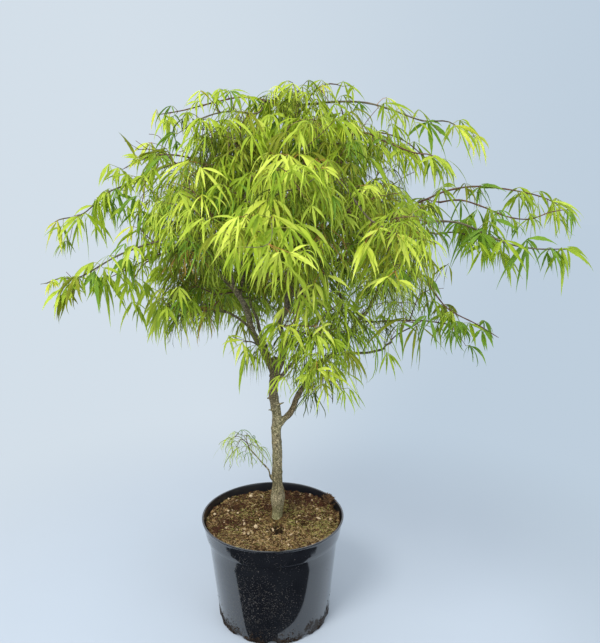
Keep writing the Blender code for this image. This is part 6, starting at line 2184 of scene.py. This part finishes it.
def crown_leaves(rng):
    leaves = Foliage(rng)
    for (tint, width, base, tips), node in zip(SPRAYS, SPRAY_NODES):
        way = AT[node] - AT[PARENT[node]]
        gap = np.array(base) - AT[node]
        # leaves on the long outer shoots are the broadest
        width = width * (1.15 if abs(base[0] - 0.05) > 0.22 else 1.0)
        leaves.spray(tint, width, AT[node], unit(0.5 * unit(way) + unit(gap + 1e-5) + 0.2 * UP), np.array(base), tips)
    for c, line in enumerate(CHAINS):
        rng = leaves.rng = np.random.default_rng((1179, c))  # each twig has its own
        pts = AT[line]
        gaps = np.linalg.norm(np.diff(pts, axis=0), axis=1)
        run = np.concatenate(([0], np.cumsum(gaps)))
        total = run[-1]
        tip = pts[-1]
        shoot = next((SHOOT_OF[i] for i in line if i in SHOOT_OF), None)
        low = tip[2] < 0.47
        deep = depth_of(tip)
        arm = tip[0] < -0.20 or tip[0] > 0.30 or (tip[0] > 0.22 and tip[2] > 0.94)
        shown = line[-1] in TREE.sprayed
        # the spray's tint and the look of its leaves: the deeper its tip lies in the crown, the darker the tint, partly
        # painted shade and partly the older leaves' own olive
        d, e = rng.uniform(0, 1), rng.uniform(0, 1)
        hem = tip[2] < 0.66 and not low
        if low:
            tint, kind = ("fresh" if d < 0.2 else "bright" if d < 0.55 else "mid"), "thread"
        elif arm:
            if tip[0] < 0:
                tint = "bright" if d < 0.66 else "mid"
            else:
                tint = "green" if d < 0.40 else "mid" if d < 0.85 else "bright"
            kind = "broad" if e < 0.66 else "slim" if e < 0.92 else "thread"
        elif hem and tip[0] < 0.02:
            tint = "bright" if d < 0.42 else "mid" if d < 0.85 else "olive"
            kind = "broad" if e < 0.52 else "slim" if e < 0.82 else "thread"
        elif deep < 0.022 and tip[0] > 0.15 and not hem:
            # the right side is threads for the most part
            tint = "fresh" if d < 0.08 else "bright" if d < 0.40 else "mid" if d < 0.80 else "olive"
            kind = "broad" if e > 0.86 else "slim" if e < 0.26 else "thread"
        elif deep < 0.022 and not hem and e > (0.80 if tip[1] < -0.08 else 0.66):
            tint, kind = ("fresh" if d < 0.20 else "bright" if d < 0.62 else "mid"), "broad"
        elif deep < 0.022:
            tint = "fresh" if d < 0.05 else "bright" if d < 0.38 else "mid" if d < 0.76 else "olive"
            kind = "slim" if e < 0.34 else "thread"
        elif deep < 0.060:
            tint = "bright" if d < 0.14 else "mid" if d < 0.46 else "olive" if d < 0.84 else "green" if d < 0.96 else "rust"
            kind = "slim" if e < 0.14 else "thread"
        else:
            tint = "olive" if d < 0.48 else "deep" if d < 0.84 else "mid" if d < 0.96 else "rust"
            kind = "thread"
        if tip[2] < 0.74 and not low:
            # painted light: under the crown's edge, where light comes in, the tints are paler, and on the left paler
            # still
            tint = {"olive": "mid", "deep": "olive"}.get(tint, tint) if e < 0.6 else tint
            if tip[0] < -0.04:
                tint = {"olive": "bright", "deep": "mid", "mid": "bright"}.get(tint, tint) if d > 0.35 else tint
        # pairs of leaves from the tip back
        at, first, k = 0.0, True, 0
        reach_back = min(total, 0.17 if not shoot else total - 0.02)
        while at <= reach_back + 1e-6:
            where = total - at
            j = min(np.searchsorted(run, where, side="right") - 1, len(gaps) - 1)
            f = (where - run[j]) / max(gaps[j], 1e-9)
            p = pts[j] + (pts[j + 1] - pts[j]) * f
            ahead = unit(pts[j + 1] - pts[j])
            flat = unit(ahead * (1, 1, 0.0001))
            side = unit(np.cross(UP, ahead) + 1e-6)
            turn = rng.uniform(-0.5, 0.5) + (0.9 if k % 2 else 0.0)
            side = side * math.cos(turn) + np.cross(ahead, side) * math.sin(turn)
            if kind == "thread":
                size, width = rng.uniform(0.042, 0.072), rng.uniform(0.0014, 0.0024)
                count = 7 if rng.uniform() < 0.45 else 5
                stalk = rng.uniform(0.010, 0.020)
            elif kind == "slim":
                size, width = rng.uniform(0.046, 0.078), rng.uniform(0.0030, 0.0052)
                count = (3, 4, 5, 5)[rng.integers(4)]
                stalk = rng.uniform(0.012, 0.022)
            else:
                size, width = rng.uniform(0.054, 0.086), rng.uniform(0.0048, 0.0076)
                count = (3, 4, 5, 5)[rng.integers(4)]
                stalk = rng.uniform(0.010, 0.018)
            if low:
                size, width = rng.uniform(0.038, 0.066), rng.uniform(0.0012, 0.0019)
            elif hem:
                size *= 0.84 if tip[0] > 0.02 or kind == "thread" else 1.06
            elif p[2] < 0.76 and not arm:
                size *= 1.22
            bare = p[2] < 0.605 and -0.035 < p[0] < 0.075 and p[1] > -0.20 and not low
            hidden = shown_off(p) and rng.uniform() < (0.55 if arm else 0.70)
            hidden = hidden or (bare and rng.uniform() < 0.80) or (p[0] > 0.535 and first) or (p[0] > 0.50 and p[2] < 0.83)
            hidden = hidden or rng.uniform() < sparse(p)
            # the sky shows between the trunk and the right limb
            fork = 0.024 < p[0] < 0.064 and p[2] < 0.618 - 0.27 * p[1] and not low
            hidden = hidden or (fork and rng.uniform() < 0.50)
            this = tint if rng.uniform() < 0.55 else NEAR_TINTS[tint][rng.integers(len(NEAR_TINTS[tint]))]
            if this == "deep" and (arm or kind != "thread"):
                this = "green"  # only threads inside the crown are as dark as that
            if not (first and shown) and not hidden:
                for sign in (-1, 1):
                    if rng.uniform() < (0.15 if arm and shoot else 0.10):
                        continue
                    if first:
                        head = unit(flat + sign * 0.75 * side + rng.normal(0, 0.15, 3))
                    else:
                        head = unit(0.45 * ahead + sign * 0.80 * side + 0.10 * UP + rng.normal(0, 0.15, 3))
                    leaves.leaf(this, kind, p, head, size * (0.85 if first else 1.0), width, count,
                                stalk * (0.6 if first else 1.0), 1.0, 0.12 if first else 0.0)
            first = False
            if low:
                at += rng.uniform(0.0095, 0.0155)
            elif kind == "thread":
                at += rng.uniform(0.014, 0.023) + (0.0 if not arm else 0.002 if tip[0] < 0 else 0.011)
            elif kind == "slim":
                at += rng.uniform(0.022, 0.034) + (0.006 if arm and tip[0] > 0 else 0.0)
            else:
                at += rng.uniform(0.028, 0.042)
            if hem and tip[0] > 0.13:
                at += 0.006 if tip[0] < 0.20 else 0.014
            elif hem and tip[0] < -0.05:
                at += 0.007
            k += 1
    return leaves


LEAVES = crown_leaves(np.random.default_rng(77))
STALKS = {k: (STALK_RED if k in ("flush", "fresh", "rust") else STALK_GREEN) for k in LEAF_TINTS}
LEAVES.make(LEAF_MATS, STALKS)
